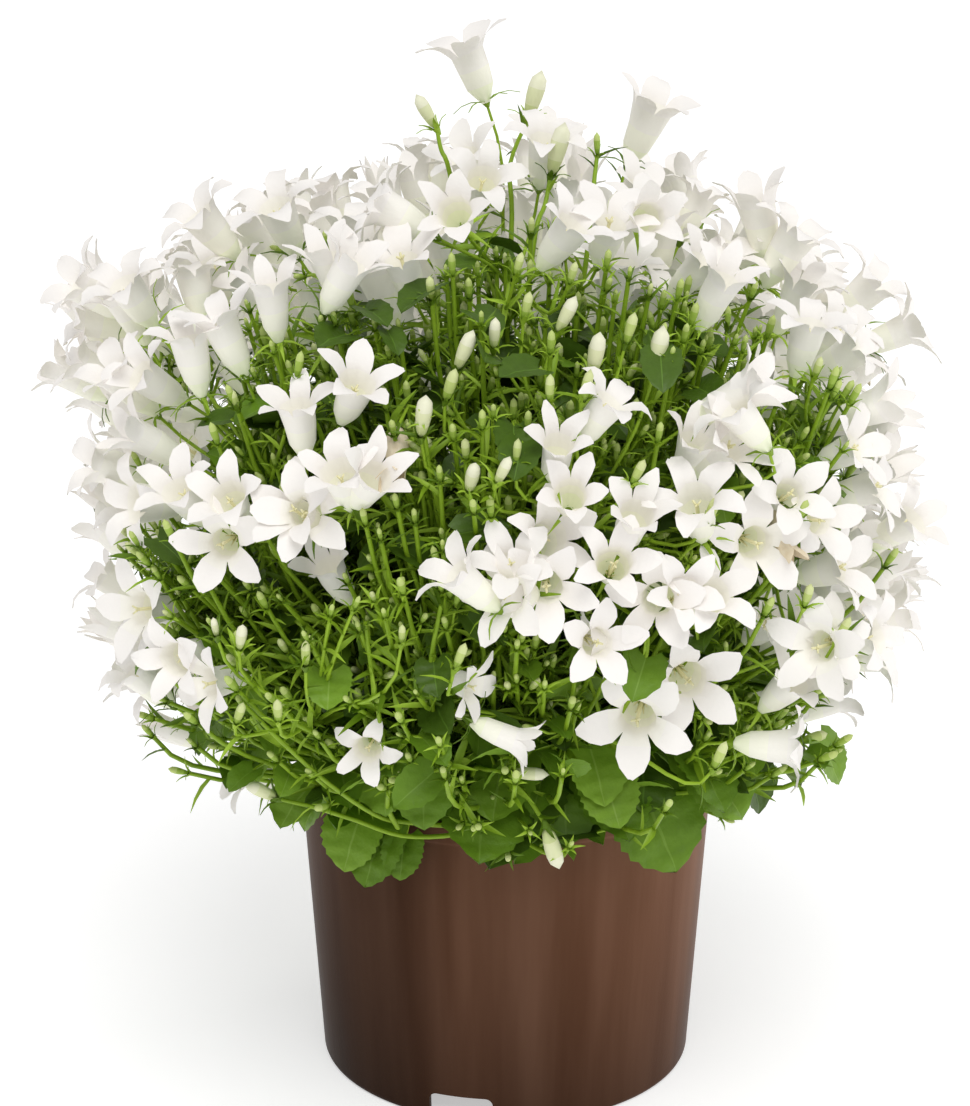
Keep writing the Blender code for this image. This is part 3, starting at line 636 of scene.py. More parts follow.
# The bells that show in the photograph, as the azimuth and elevation of the mouth from the root crown and of the
# way it faces, in degrees.
FRONT_BELLS = (
    (238, 63, 215, 72), (247, 62, 330, 60), (233, 59, 240, 76),
    (223, 54, 215, 78), (225, 56, 190, 67), (252, 53, 300, 54), (243, 51, 250, 72), (238, 68, 180, 30),
    (249, 65, 230, 67), (259, 67, 262, 28), (285, 67, 330, 52), (297, 83, 290, 72),
    (298, 66, 285, 20), (293, 69, 300, 67), (305, 60, 320, 62),
    (317, 56, 320, 74), (328, 52, 345, 35), (296, 51, 200, 52),
    (304, 51, 345, 35), (284, 52, 340, 57), (291, 45, 255, 55), (301, 48, 330, 40), (305, 43, 285, 30),
    (312, 40, 300, 15), (321, 45, 330, 30), (328, 47, 345, 25), (301, 39, 285, 10), (277, 45, 272, 35),
    (276, 49, 280, 55), (270, 41, 268, 48), (262, 40, 200, 45), (267, 37, 235, 15), (274, 37, 270, 5),
    (282, 40, 275, 32), (285, 44, 285, 50), (290, 37, 280, 28), (286, 36, 262, 10), (281, 33, 285, 12),
    (235, 38, 258, 8), (246, 42, 262, 20),
    (243, 43, 240, 35), (256, 46, 300, 45), (250, 46, 250, 55), (235, 43, 250, 40), (227, 43, 230, 50),
    (215, 49, 215, 35), (209, 49, 200, 50), (187, 52, 190, 30), (203, 54, 200, 62), (209, 41, 195, 20),
    (217, 39, 215, 10), (218, 30, 225, 10), (226, 27, 240, 5), (305, 30, 240, 10), (313, 30, 300, 20),
    (324, 28, 330, 15), (313, 19, 350, 0), (229, 25, 215, 0),
    (195, 47, 185, 30), (319, 36, 335, 20), (326, 41, 345, 20),
    (184, 44, 180, 30), (181, 50, 172, 57),
)

LOW_BELL_ELEVATION = 31

# Withered bells, as the azimuth and elevation of the middle from the root crown and of the way they hang.
WITHERED_BELLS = (
    (305, 35, 285, -50),
    (257, 42, 268, -40),
    (20, 40, 20, -20),
    (120, 50, 110, 0),
    (160, 25, 170, -40),
)

# The buds that show in the photograph: azimuth and elevation of the tip from the root crown, length in millimetres
# and how ripe, from 0 for green to 2 for cream.
FRONT_BUDS = (
    (268, 58, 9, 2), (273, 60, 8, 1), (280, 60, 11, 2), (282, 56, 13, 2),
    (280, 53, 9, 1), (275, 53, 8, 1), (263, 54, 10, 1), (260, 51, 13, 2), (266, 47, 11, 2), (270, 47, 9, 2),
    (272, 63, 7, 1), (281, 63, 7, 1), (239, 33, 9, 2), (246, 33, 8, 1), (250, 36, 5, 0), (253, 37, 5, 0),
    (258, 35, 6, 1), (235, 33, 6, 2), (237, 26, 8, 1), (243, 27, 8, 1), (265, 34, 8, 1), (286, 47, 8, 1),
    (295, 44, 9, 1), (314, 32, 8, 1), (297, 23, 9, 1), (265, 57, 12, 2), (288, 58, 9, 1), (292, 57, 14, 2),
    (271, 49, 7, 1), (242, 54, 8, 0), (308, 36, 8, 1), (314, 52, 7, 1), (320, 50, 8, 0),
)

# Thin stems that run over and round the rim at the front, as points of their middle lines, and the buds at the
# front that lie or hang, each from foot to tip with its ripeness.
RUNNERS = (
    ((-0.004, -0.045, 0.084), (-0.008, -0.062, 0.0965), (-0.0142, -0.066, 0.0969), (-0.0277, -0.068, 0.0989),
     (-0.0353, -0.074, 0.1035), (-0.047, -0.086, 0.1175), (-0.0581, -0.096, 0.1329), (-0.0684, -0.100, 0.1459)),
    ((-0.002, -0.045, 0.084), (-0.005, -0.062, 0.0962), (-0.0142, -0.068, 0.0952), (-0.0284, -0.071, 0.0962),
     (-0.0409, -0.075, 0.1025), (-0.0515, -0.077, 0.1070), (-0.0610, -0.078, 0.1099)),
    ((-0.0295, -0.071, 0.0985), (-0.0320, -0.078, 0.1079), (-0.0306, -0.090, 0.1212), (-0.0323, -0.100, 0.1343)),
    ((-0.002, -0.048, 0.086), (-0.001, -0.064, 0.108), (0.0019, -0.078, 0.1144), (0.0058, -0.086, 0.1127),
     (0.0097, -0.089, 0.1072)),
    ((-0.012, -0.060, 0.100), (-0.0090, -0.080, 0.1190), (-0.0058, -0.090, 0.1232), (-0.0001, -0.093, 0.1237)),
    ((-0.032, -0.070, 0.105), (-0.0282, -0.092, 0.1301), (-0.0202, -0.103, 0.1384)),
    ((-0.022, -0.050, 0.088), (-0.030, -0.080, 0.115), (-0.034, -0.105, 0.150), (-0.036, -0.112, 0.172)),
    ((-0.012, -0.050, 0.088), (-0.016, -0.085, 0.120), (-0.020, -0.110, 0.155), (-0.017, -0.116, 0.178)),
    ((-0.010, -0.022, 0.235), (-0.0154, -0.020, 0.2658), (-0.0178, -0.018, 0.2721), (-0.0189, -0.016, 0.2771)),
    ((0.000, -0.026, 0.225), (0.0011, -0.020, 0.2549), (0.0006, -0.012, 0.2668), (0.0053, 0.000, 0.2761)),
    ((0.004, -0.038, 0.225), (0.0071, -0.035, 0.2529), (0.0098, -0.028, 0.2594), (0.0112, -0.024, 0.2658)),
    ((0.018, -0.036, 0.225), (0.0223, -0.030, 0.2571), (0.0228, -0.026, 0.2644), (0.0237, -0.022, 0.2711)),
)
LYING_BUDS = (
    ((-0.0610, -0.078, 0.1099), (-0.0696, -0.082, 0.1162), 2),
    ((0.0097, -0.089, 0.1072), (0.0136, -0.087, 0.0935), 2),
    ((-0.0001, -0.093, 0.1237), (0.0106, -0.094, 0.1234), 2),
    ((-0.0202, -0.103, 0.1384), (-0.0138, -0.105, 0.1422), 1),
    ((-0.0189, -0.016, 0.2771), (-0.0245, -0.016, 0.2868), 2),
    ((0.0053, 0.000, 0.2761), (0.0093, 0.000, 0.2903), 2),
    ((0.0112, -0.024, 0.2658), (0.0151, -0.024, 0.2809), 2),
    ((0.0237, -0.022, 0.2711), (0.0236, -0.022, 0.2778), 0),
)

# The green openings between the bells, the front ones as the photograph shows them: azimuth, elevation, half width
# and half height in degrees, and how many shoots with buds stand in each.
OPENINGS = (
    (271, 58, 12, 11, 56),
    (274, 70, 6, 10, 18),
    (291, 58, 6, 6, 12),
    (304, 57, 9, 6, 14),
    (311, 47, 8, 4, 8),
    (292, 65, 8, 4, 6),
    (242, 58, 9, 6, 14),
    (257, 47, 4, 3, 6),
    (264, 47, 6, 4, 10),
    (285, 48, 4, 3, 5),
    (235, 47, 6, 3, 8),
    (258, 30, 22, 12, 90),
    (224, 33, 9, 7, 14),
    (299, 34, 6, 4, 8),
    (298, 21, 13, 7, 2),
    (261, 20, 30, 7, 6),
    (281, 19, 28, 6, 3),
    (320, 19, 10, 7, 14),
    (328, 20, 18, 8, 4),
    (270, 10, 66, 6, 4),
    (238, 59, 12, 5, 20),
    (213, 35, 10, 4, 14),
    (311, 60, 6, 4, 8),
    (322, 43, 5, 5, 8),
    (294, 42, 5, 3, 6),
    (322, 28, 6, 5, 7),
    (286, 63, 8, 3, 8),
    (306, 61, 8, 4, 12),
    (315, 51, 6, 4, 14),
    (321, 47, 4, 3, 6),
    (222, 40, 5, 4, 10),
    (222, 30, 5, 4, 8),
    (232, 57, 6, 4, 12),
    (226, 56, 4, 3, 5),
    (319, 46, 4, 4, 6),
    (226, 38, 6, 4, 8),
    (250, 40, 4, 3, 6),
    (231, 31, 8, 4, 10),
    (225, 34, 5, 5, 10),
    (273, 34, 6, 3, 6),
    (222, 23, 5, 4, 8),
    (204, 15, 8, 5, 6),
    (214, 57, 5, 4, 5),
    (229, 53, 4, 3, 5),
    (216, 66, 6, 4, 6),
    (250, 60, 5, 4, 8),
    (331, 49, 7, 4, 8),
    (308, 45, 5, 4, 6),
    (307, 37, 4, 4, 6),
    (25, 45, 14, 8, 24),
    (140, 32, 20, 10, 40),
    (95, 58, 14, 7, 30),
)
OPENING_MARGIN = 2.0

# Where the crown's outline dips: azimuth, elevation, half width in degrees and the depth in metres.
DIPS = (
    (180, 76, 36, 0.017),
    (20, 67, 34, 0.015),
    (191, 35, 17, 0.030),
    (354, 35, 16, 0.012),
    (330, 57, 7, 0.008),
)

# Bells of a size of their own: the mouth's place, the way it faces in degrees, the size and how far it is open.
OWN_BELLS = (
    (-0.120, -0.036, 0.244, 200, 36, 0.90, 1.0),
    (-0.122, -0.026, 0.229, 190, 14, 0.82, 1.0),
    (-0.104, -0.052, 0.250, 215, 56, 0.86, 1.0),
    (0.044, 0.018, 0.284, 345, 66, 0.95, 0.85),
    (-0.0373, -0.104, 0.1325, 262, 5, 0.66, 1.0),
    (0.0139, -0.112, 0.167, 195, 5, 0.62, 1.0),
    (0.0072, -0.112, 0.1377, 352, -22, 0.68, 0.62),
    (-0.0023, -0.117, 0.1539, 330, -8, 0.66, 1.0),
    (-0.0882, -0.020, 0.2611, 200, 50, 0.92, 1.0),
    (-0.0650, -0.030, 0.2666, 225, 62, 0.92, 1.0),
    (0.1050, -0.020, 0.2419, 350, 45, 0.90, 1.0),
    (0.1180, -0.020, 0.2281, 0, 25, 0.86, 1.0),
    (0.0644, -0.030, 0.2682, 200, 78, 0.92, 0.85),
    (0.0808, -0.035, 0.2610, 350, 60, 0.95, 1.0),
    (-0.0163, -0.012, 0.2769, 220, 55, 0.82, 1.0),
    (-0.0056, -0.030, 0.2714, 280, 45, 0.80, 1.0),
    (0.0123, 0.012, 0.2754, 300, 72, 0.86, 0.85),
    (0.1135, -0.040, 0.1373, 350, 10, 0.86, 1.0),
    (0.0531, -0.115, 0.1837, 290, 40, 0.86, 1.0),
    (0.0483, -0.108, 0.1513, 280, 5, 1.00, 1.0),
    (0.0310, -0.1145, 0.1419, 262, 0, 1.00, 1.0),
)

# Shoots that lean out of the pot at the front: the azimuth at the rim, and the azimuth and elevation of the end.
LEANING_SHOOTS = (
    (252, 236, 27),
    (262, 246, 33),
    (247, 228, 22),
    (300, 322, 17),
    (270, 262, 38),
    (276, 284, 36),
)

# The leaves that hang over the rim at the front, each as its azimuth, the height of its middle, its length and
# how far its middle stands from the pot's axis.
RIM_LEAF_LEVEL = 0.102
RIM_LEAVES = (
    (265, 0.1045, 0.024, 0.081), (291, 0.1065, 0.021, 0.080), (302, 0.0970, 0.027, 0.077), (313, 0.1090, 0.025, 0.084),
    (327, 0.1010, 0.018, 0.082), (340, 0.1015, 0.013, 0.087), (282, 0.1040, 0.018, 0.074), (286, 0.1190, 0.017, 0.086),
    (255, 0.1120, 0.024, 0.078), (226, 0.1005, 0.019, 0.076), (233, 0.0885, 0.017, 0.071), (238, 0.0850, 0.018, 0.069),
    (245, 0.0855, 0.012, 0.068), (212, 0.1060, 0.015, 0.086), (209, 0.1180, 0.019, 0.092), (247, 0.1524, 0.011, 0.117),
    (261, 0.1592, 0.010, 0.119), (268, 0.1140, 0.020, 0.078), (246, 0.1150, 0.022, 0.080), (275, 0.1060, 0.020, 0.071),
    (298, 0.1120, 0.020, 0.078), (320, 0.1150, 0.020, 0.084), (218, 0.1120, 0.018, 0.083),
    (230, 0.1055, 0.018, 0.088), (256, 0.1160, 0.018, 0.092), (288, 0.1124, 0.016, 0.088),
    (308, 0.1121, 0.019, 0.088), (341, 0.1016, 0.014, 0.096), (241, 0.1428, 0.012, 0.096),
)

# Shoots that trail over the rim: the azimuths they start and end at, and the height and radius of the end.
TRAILING_SHOOTS = (
    (236, 211, 0.106, 0.080),
    (300, 318, 0.104, 0.076),
    (310, 338, 0.108, 0.088),
    (80, 100, 0.094, 0.068),
    (120, 150, 0.100, 0.076),
    (30, 10, 0.102, 0.078),
)


class Shoot(SimpleNamespace):
    """A curved stem: the points of its middle line, and its radius at the foot and at the tip."""

    def at(self, share):
        """The place and the heading that share of the way along."""
        place = share * (len(self.points) - 1)
        first = min(int(place), len(self.points) - 2)
        one, other = self.points[first], self.points[first + 1]
        return one.lerp(other, place - first), (other - one).normalized()

    def length(self):
        return sum((b - a).length for a, b in zip(self.points, self.points[1:]))


def bowed(start, heading, end, arrival, foot, tip, steps=7):
    """A shoot that leaves its start along one heading and comes to its end along another."""
    ease = 0.4 * (end - start).length
    points = interpolate_bezier(start, start + heading * ease, end - arrival * ease, end, steps)
    return Shoot(points=points, foot=foot, tip=tip)


def smoothed(points):
    """A smooth row of points through the given ones."""
    ends = [points[0], *points, points[-1]]
    row = [points[0]]
    for before, start, end, after in zip(ends, ends[1:], ends[2:], ends[3:]):
        lead, follow = (end - before) / 6, (after - start) / 6
        row += interpolate_bezier(start, start + lead, end - follow, end, 5)[1:]
    return [Vector(point) for point in row]


def shrunk(bell, share):
    """The same bell smaller, with its mouth in the same place."""
    bell.foot = bell.foot + bell.axis * (BELL_LENGTH * bell.size * (1 - share))
    bell.size *= share
    return bell


def dip_of(direction):
    """How far the crown's outline dips inwards in a direction."""
    deepest = 0.0
    for azimuth, elevation, half_width, depth in DIPS:
        off = math.degrees(direction.angle(polar(azimuth, elevation))) / half_width
        deepest = max(deepest, depth * (1 - off * off))
    return deepest


def lies_low_in_front(leaf):
    """True for a leaf of the skirt that hangs lower than the photograph shows."""
    azimuth = azimuth_of(leaf.tip)
    lowest = 0.096 if 215 < azimuth < 325 else 0.110
    return 165 < azimuth < 365 and leaf.tip.z < lowest


class Growth:
    """All that the plant bears, gathered as places for the templates and as stems."""

    def __init__(self, masses):
        self.rng = random.Random(SEED)
        self.masses = masses
        self.bells = [bell for mass in masses for bell in mass.bells]
        self.stems = []
        self.twigs = []
        self.stalks = []
        self.flowers = []
        self.withered = []
        self.buds = []
        self.bracts = []
        self.leaves = []
        self.rim_leaves = []

    def in_opening(self, direction):
        """True where green shoots show in place of bells."""
        azimuth, elevation = azimuth_of(direction), elevation_of(direction)
        for middle_azimuth, middle_elevation, half_width, half_height, _ in OPENINGS:
            turn = (azimuth - middle_azimuth + 180) % 360 - 180
            across = turn * math.cos(math.radians(elevation)) / (half_width + OPENING_MARGIN)
            if across**2 + ((elevation - middle_elevation) / (half_height + OPENING_MARGIN)) ** 2 < 1:
                return True
        return False

    def host_mass(self, direction):
        return next(mass for mass in self.masses if mass.space.is_nearest(direction))

    def add_front_bells(self):
        """The photograph's own bells, round which the solids' others give way."""
        rng = self.rng
        planned = self.bells
        self.bells = []
        for azimuth, elevation, facing, rise in FRONT_BELLS:
            direction = polar(azimuth, elevation)
            mouth = GROWTH_POINT + direction * (reach(direction) + rng.uniform(-0.001, 0.003))
            stem = self.host_mass(direction).stem
            bell = make_bell(rng, mouth, polar(facing, rise), rng.choice((0.85, 1.0, 1.0)), stem)
            self.bells.append(shrunk(bell, LOW_BELL_SHARE if elevation < LOW_BELL_ELEVATION else LIFE_SHARE))
        for x, y, z, facing, rise, size, openness in OWN_BELLS:
            mouth = Vector((x, y, z))
            stem = self.host_mass((mouth - GROWTH_POINT).normalized()).stem
            bell = make_bell(rng, mouth, polar(facing, rise), openness, stem)
            self.bells.append(shrunk(bell, size / bell.size))
        self.set_balls()
        for bell in planned:
            direction = (bell.foot + bell.axis * (BELL_LENGTH * bell.size) - GROWTH_POINT).normalized()
            if self.in_opening(direction):
                continue
            if bell.size == LEADER_SIZE:
                bell = shrunk(bell, LEADER_SHARE)
                bell.foot = bell.foot + LEADER_SHIFT
            else:
                bell = shrunk(bell, LIFE_SHARE)
                bell.foot = bell.foot - direction * dip_of(direction)
            balls = bell_spheres(bell)
            if any(self.crowded(ball, FRONT_BELL_SPACING * radius) for ball, radius in balls):
                continue
            self.bells.append(bell)
        self.set_balls()

    def crowded(self, point, radius):
        """True where a ball at a point runs into a bell."""
        if not len(self.balls):
            return False
        gaps = np.linalg.norm(self.balls[:, :3] - np.array(point), axis=1) - self.balls[:, 3]
        return bool(gaps.min() < radius)

    def set_balls(self):
        self.balls = np.array([(*ball, radius) for bell in self.bells for ball, radius in bell_spheres(bell)])
        self.mouths = np.array([bell.foot + bell.axis * (MOUTH_SHARE * BELL_LENGTH * bell.size) for bell in self.bells])
        self.axes = np.array([bell.axis for bell in self.bells])
        self.widths = np.array([MOUTH_WIDTH * bell.size / LIFE_SHARE for bell in self.bells])

    def before_mouth(self, point):
        """True where a point stands close before the mouth of a bell."""
        out = np.array(point) - self.mouths
        along = np.einsum("ij,ij->i", out, self.axes)
        across = np.linalg.norm(out - along[:, None] * self.axes, axis=1)
        return bool(((along > 0) & (along < MOUTH_DEPTH) & (across < self.widths)).any())

    def add_more_bells(self):
        """Bells between and behind the solids' own, which may cross from one mass into the next."""
        rng = self.rng
        self.set_balls()
        added = 0
        for _ in range(MORE_BELL_THROWS):
            if added >= MORE_BELLS:
                break
            direction = polar(rng.uniform(0, 360), math.degrees(math.asin(rng.uniform(0.12, 1.0))))
            depth = rng.choice(MORE_BELL_DEPTHS) + dip_of(direction)
            mouth = GROWTH_POINT + direction * (reach(direction) - depth)
            axis = (direction + Vector((0, 0, BELL_LIFT)) + scattered(rng, 0.26)).normalized()
            openness = rng.choice(BELL_OPENINGS)
            bell = make_bell(rng, mouth, axis, openness, self.host_mass(direction).stem)
            if self.in_opening(direction):
                continue
            if not all(within_crown(point, CROWN_MARGIN) for point in bell_points(bell)):
                continue
            if not clears_pot(bell_points(bell)):
                continue
            bell = shrunk(bell, LIFE_SHARE)
            if any(self.crowded(ball, MORE_BELL_SPACING * radius) for ball, radius in bell_spheres(bell)):
                continue
            self.bells.append(bell)
            self.set_balls()
            added += 1

    def add_mass_stems(self):
        """The bough and the stem of each mass, as one tapering shoot, with its nodes."""
        for mass in self.masses:
            points = [Vector(point) for point in mass.bough] + [
                mass.stem[0].lerp(mass.stem[1], step / 5) for step in range(1, 6)
            ]
            shoot = Shoot(points=points, foot=0.00105, tip=0.0006)
            self.cut_back(shoot)
            self.stems.append(shoot)
            self.dress(shoot, 0.25, 1.0, bud_chance=0.2, leaf_chance=0.2)
            self.end_in_bud(shoot)

    def add_basal_stems(self):
        """Thin stems from the soil round the root crown, which fill the crown's inside."""
        rng = self.rng
        for number in range(BASAL_STEMS):
            lift = math.degrees(math.asin(rng.uniform(0.10, 0.98)))
            direction = polar(rng.uniform(0, 360), lift)
            out = BASAL_PATCH_RADIUS * math.sqrt(rng.random())
            start = polar(azimuth_of(direction) + rng.gauss(0, 25), 0) * out
            start.z = SOIL_TOP - 0.002
            end = GROWTH_POINT + direction * (reach(direction) * rng.uniform(0.5, 0.86) - dip_of(direction))
            heading = (direction + Vector((0, 0, 0.9))).normalized()
            if lift < 25:
                end.z = max(end.z, POT_HEIGHT + 0.012)
            shoot = bowed(start, heading, end, direction, 0.0008, 0.0004, steps=10)
            self.cut_back(shoot)
            self.stems.append(shoot)
            self.dress(shoot, 0.30, 1.0, bud_chance=0.08, leaf_chance=0.12)
            self.end_in_bud(shoot)

    def add_standing_shoots(self):
        """Leafy shoots that end in buds and fill the openings between the bells."""
        rng = self.rng
        for azimuth, elevation, half_width, half_height, count in OPENINGS:
            for _ in range(count):
                lift = elevation + half_height * rng.uniform(-1, 1.6)
                turn = azimuth + half_width * rng.uniform(-1, 1) / math.cos(math.radians(lift))
                direction = polar(turn, lift)
                end = GROWTH_POINT + direction * (reach(direction) * rng.uniform(0.72, 0.97) - dip_of(direction))
                start = polar(turn + rng.gauss(0, 20), 0) * (BASAL_PATCH_RADIUS * rng.uniform(0.2, 1.1))
                start.z = SOIL_TOP - 0.002
                arrival = (direction + Vector((0, 0, rng.uniform(0.2, 1.6)))).normalized()
                shoot = bowed(start, Vector((0, 0, 1)), end, arrival, 0.0011, 0.0006, steps=12)
                self.cut_back(shoot)
                self.stems.append(shoot)
                self.dress(shoot, 0.35, 1.0, bud_chance=0.08 if elevation > 25 else 0.02, leaf_chance=0.13)
                self.end_in_bud(shoot)

    def add_leaning_shoots(self):
        """Shoots that lean out over the rim and up into the front of the crown."""
        for azimuth, last, elevation in LEANING_SHOOTS:
            start = polar(azimuth, 0) * 0.040
            start.z = SOIL_TOP
            over = polar(azimuth, 0) * 0.060
            over.z = POT_HEIGHT + 0.006
            direction = polar(last, elevation)
            end = GROWTH_POINT + direction * (0.95 * reach(direction))
            climb = bowed(start, Vector((0, 0, 1)), over, (end - over).normalized(), 0.0011, 0.0010, steps=5)
            arrival = (direction + Vector((0, 0, 0.6))).normalized()
            rise = bowed(over, (end - over).normalized(), end, arrival, 0.0010, 0.0006, steps=9)
            shoot = Shoot(points=climb.points + rise.points[1:], foot=0.0011, tip=0.0006)
            self.cut_back(shoot)
            self.stems.append(shoot)
            self.dress(shoot, 0.4, 1.0, bud_chance=0.2, leaf_chance=0.1)
            self.end_in_bud(shoot)

    def add_front_buds(self):
        """The photograph's own buds, and a few more of their kind."""
        rng = self.rng
        for azimuth, elevation, millimetres, ripeness in FRONT_BUDS:
            direction = polar(azimuth, elevation)
            tip = GROWTH_POINT + direction * (reach(direction) - rng.uniform(0, 0.006))
            axis = (direction * 0.5 + Vector((0.32, 0, 1.0)) + scattered(rng, 0.22)).normalized()
            length = MILLIMETRE * millimetres
            foot = tip - axis * length
            root = root_on(self.host_mass(direction).stem, foot, TWIG_LEAD)
            stalk = bowed(root, (foot - root).normalized(), foot, axis, 0.0006, 0.00045)
            self.twigs.append(stalk)
            self.dress(stalk, 0.35, 0.95, bud_chance=0.2, leaf_chance=0.0)
            self.add_bud(foot, axis, length, ripeness)

    def add_bud(self, foot, axis, length, ripeness):
        self.buds.append((foot, axis, length, ripeness, self.rng.uniform(0, math.tau)))

    def add_withered_bells(self):
        for azimuth, elevation, facing, rise in WITHERED_BELLS:
            direction = polar(azimuth, elevation)
            mouth = GROWTH_POINT + direction * (reach(direction) - 0.001)
            self.withered.append(make_bell(self.rng, mouth, polar(facing, rise), 0.5, self.host_mass(direction).stem))
        for bell in self.withered:
            self.twigs.append(bowed(bell.root, (bell.foot - bell.root).normalized(), bell.foot, bell.axis, 0.0006, 0.0005))

    def add_trailing_shoots(self):
        """Shoots that lie over the rim and run round it."""
        rng = self.rng
        for first, last, height, out in TRAILING_SHOOTS:
            start = polar(first, 0) * 0.030
            start.z = SOIL_TOP
            over = polar(first + 0.25 * (last - first), 0) * 0.0635
            over.z = POT_HEIGHT + 0.002
            end = polar(last, 0) * out
            end.z = height
            side = polar(last + (90 if last > first else -90), 0)
            climb = bowed(start, Vector((0, 0, 1)), over, (over + side * 0.06).normalized(), 0.0009, 0.0008, steps=6)
            run = bowed(over, (over.normalized() + side).normalized(), end, side, 0.0008, 0.0006, steps=8)
            shoot = Shoot(points=climb.points + run.points[1:], foot=0.0009, tip=0.0006)
            self.stems.append(shoot)
            self.dress(shoot, 0.5, 1.0, bud_chance=0.2, leaf_chance=0.25)
            self.add_bud(end, (side + polar(last, 0) * 0.6).normalized(), 0.0105, rng.randrange(3))

    def add_runners(self):
        """The stems that the photograph shows along the rim, with the buds that lie or hang there."""
        for places in RUNNERS:
            shoot = Shoot(points=smoothed([Vector(place) for place in places]), foot=0.00075, tip=0.00055)
            self.stems.append(shoot)
            self.dress(shoot, 0.72, 1.0, bud_chance=0.0, leaf_chance=0.0)
        for foot, tip, ripeness in LYING_BUDS:
            line = Vector(tip) - Vector(foot)
            self.add_bud(Vector(foot), line.normalized(), line.length, ripeness)

    def add_bells(self):
        """The twig of every bell, dressed with bracts, and the bell kept among the flowers for its corolla, calyx and
        style.
        """
        rng = self.rng
        for bell in self.bells:
            first = (bell.foot - bell.root).normalized()
            heading = (first + Vector((0, 0, 0.25)) + scattered(rng, 0.08)).normalized()
            twig = bowed(bell.root, heading, bell.foot, bell.axis, 0.0006, 0.00042)
            self.twigs.append(twig)
            self.dress(twig, 0.25, 0.92, bud_chance=0.12, leaf_chance=0.03)
            self.flowers.append(bell)

    def add_planned_buds(self):
        for mass in self.masses:
            for bud in mass.buds:
                self.place_bud(bud.root, bud.axis, bud.tip, bud.size)

    def place_bud(self, root, heading, tip, size):
        """A bud on its stalk, from a root to the bud's own tip."""
        line = tip - root
        share = 0.45
        foot = root.lerp(tip, share)
        stalk = bowed(root, (heading + scattered(self.rng, 0.2)).normalized(), foot, line.normalized(),
                      0.00045, 0.0004, steps=4)
        self.stalks.append(stalk)
        ripeness = 1 if self.rng.random() < RIPENING_SHARE else 0
        self.add_bud(foot, line.normalized(), (0.8 - 0.35 * share) * (1 - share) * line.length, ripeness)

    def end_in_bud(self, shoot):
        """A small bud on the shoot's tip."""
        place, heading = shoot.at(1.0)
        self.add_bud(place, heading, self.rng.uniform(0.004, 0.008), 1 if self.rng.random() < RIPENING_SHARE else 0)

    def cut_back(self, shoot):
        """Takes the end off a shoot from where it would pass before a mouth or run into a bell."""
        for number in range(4, len(shoot.points)):
            if self.before_mouth(shoot.points[number]):
                del shoot.points[number:]
                break
        while len(shoot.points) > 4:
            if not self.crowded(shoot.points[-1], 0.003) and not self.before_mouth(shoot.points[-1]):
                break
            shoot.points.pop()

    def dress(self, shoot, first, last, bud_chance, leaf_chance):
        """Bracts at a shoot's nodes, each with a bud or a leaf in its axil now and then."""
        rng = self.rng
        length = shoot.length()
        spacing = NODE_SPACING if shoot.points[-1].z > LOW_SHOOT_LEVEL else 2 * NODE_SPACING
        nodes = max(1, int((last - first) * length / spacing))
        turn = rng.uniform(0, math.tau)
        for node in range(nodes):
            share = first + (last - first) * (node + rng.uniform(0.2, 0.8)) / nodes
            place, heading = shoot.at(share)
            turn += GOLDEN_ANGLE
            if self.before_mouth(place):
                continue
            side = turned(heading, turn) @ Vector((1, 0, 0))
            axis = (side + heading * rng.uniform(0.4, 1.1) + Vector((0, 0, 0.15))).normalized()
            bract_length = BRACT_LENGTH * rng.uniform(0.55, 1.25)
            if not self.before_mouth(place + axis * bract_length):
                self.bracts.append((place, axis, heading, bract_length))
            chance = rng.random()
            if chance < bud_chance:
                reach_out = rng.uniform(0.010, 0.020)
                tip = place + (axis + heading * 0.8 + Vector((0, 0, 0.3))).normalized() * reach_out
                if within_crown(tip, -0.002) and not (self.crowded(tip, 0.0015) or self.before_mouth(tip)) and clears_pot([place, tip]):
                    self.place_bud(place, axis, tip, 1.0)
            elif chance < bud_chance + leaf_chance and place.z < GROWTH_POINT.z + LEAFY_HEIGHT:
                self.place_leaf(place, axis, rng.uniform(0.008, 0.014), rng.uniform(0.003, 0.009))

    def place_leaf(self, root, axis, length, stalk):
        """A leaf on its stalk, held level or drooping a little."""
        rng = self.rng
        foot = root + axis * stalk
        along = (Vector((axis.x, axis.y, 0)).normalized() + Vector((0, 0, rng.uniform(-0.7, 0.25)))).normalized()
        tip = foot + along * length
        if not within_crown(tip) or not clears_pot([foot, tip, foot.lerp(tip, 0.5)]):
            return
        if self.crowded(foot.lerp(tip, 0.5), 0.001) or self.before_mouth(foot.lerp(tip, 0.5)) or self.before_mouth(tip):
            return
        self.stalks.append(bowed(root, axis, foot, along, 0.00045, 0.0004, steps=4))
        face = (Vector((0, 0, 1)) + scattered(rng, 0.3)).normalized()
        self.leaves.append((foot, along, face, length, length * rng.uniform(0.75, 0.95)))

    def add_planned_leaves(self):
        for mass in self.masses:
            for leaf in mass.leaves:
                skirt = mass.name.startswith("skirt")
                if skirt and lies_low_in_front(leaf):
                    continue
                if self.before_mouth(leaf.root.lerp(leaf.tip, 0.5)) or self.before_mouth(leaf.tip):
                    continue
                placed = (leaf.root, leaf.along, leaf.face, leaf.length, leaf.width)
                (self.rim_leaves if skirt else self.leaves).append(placed)

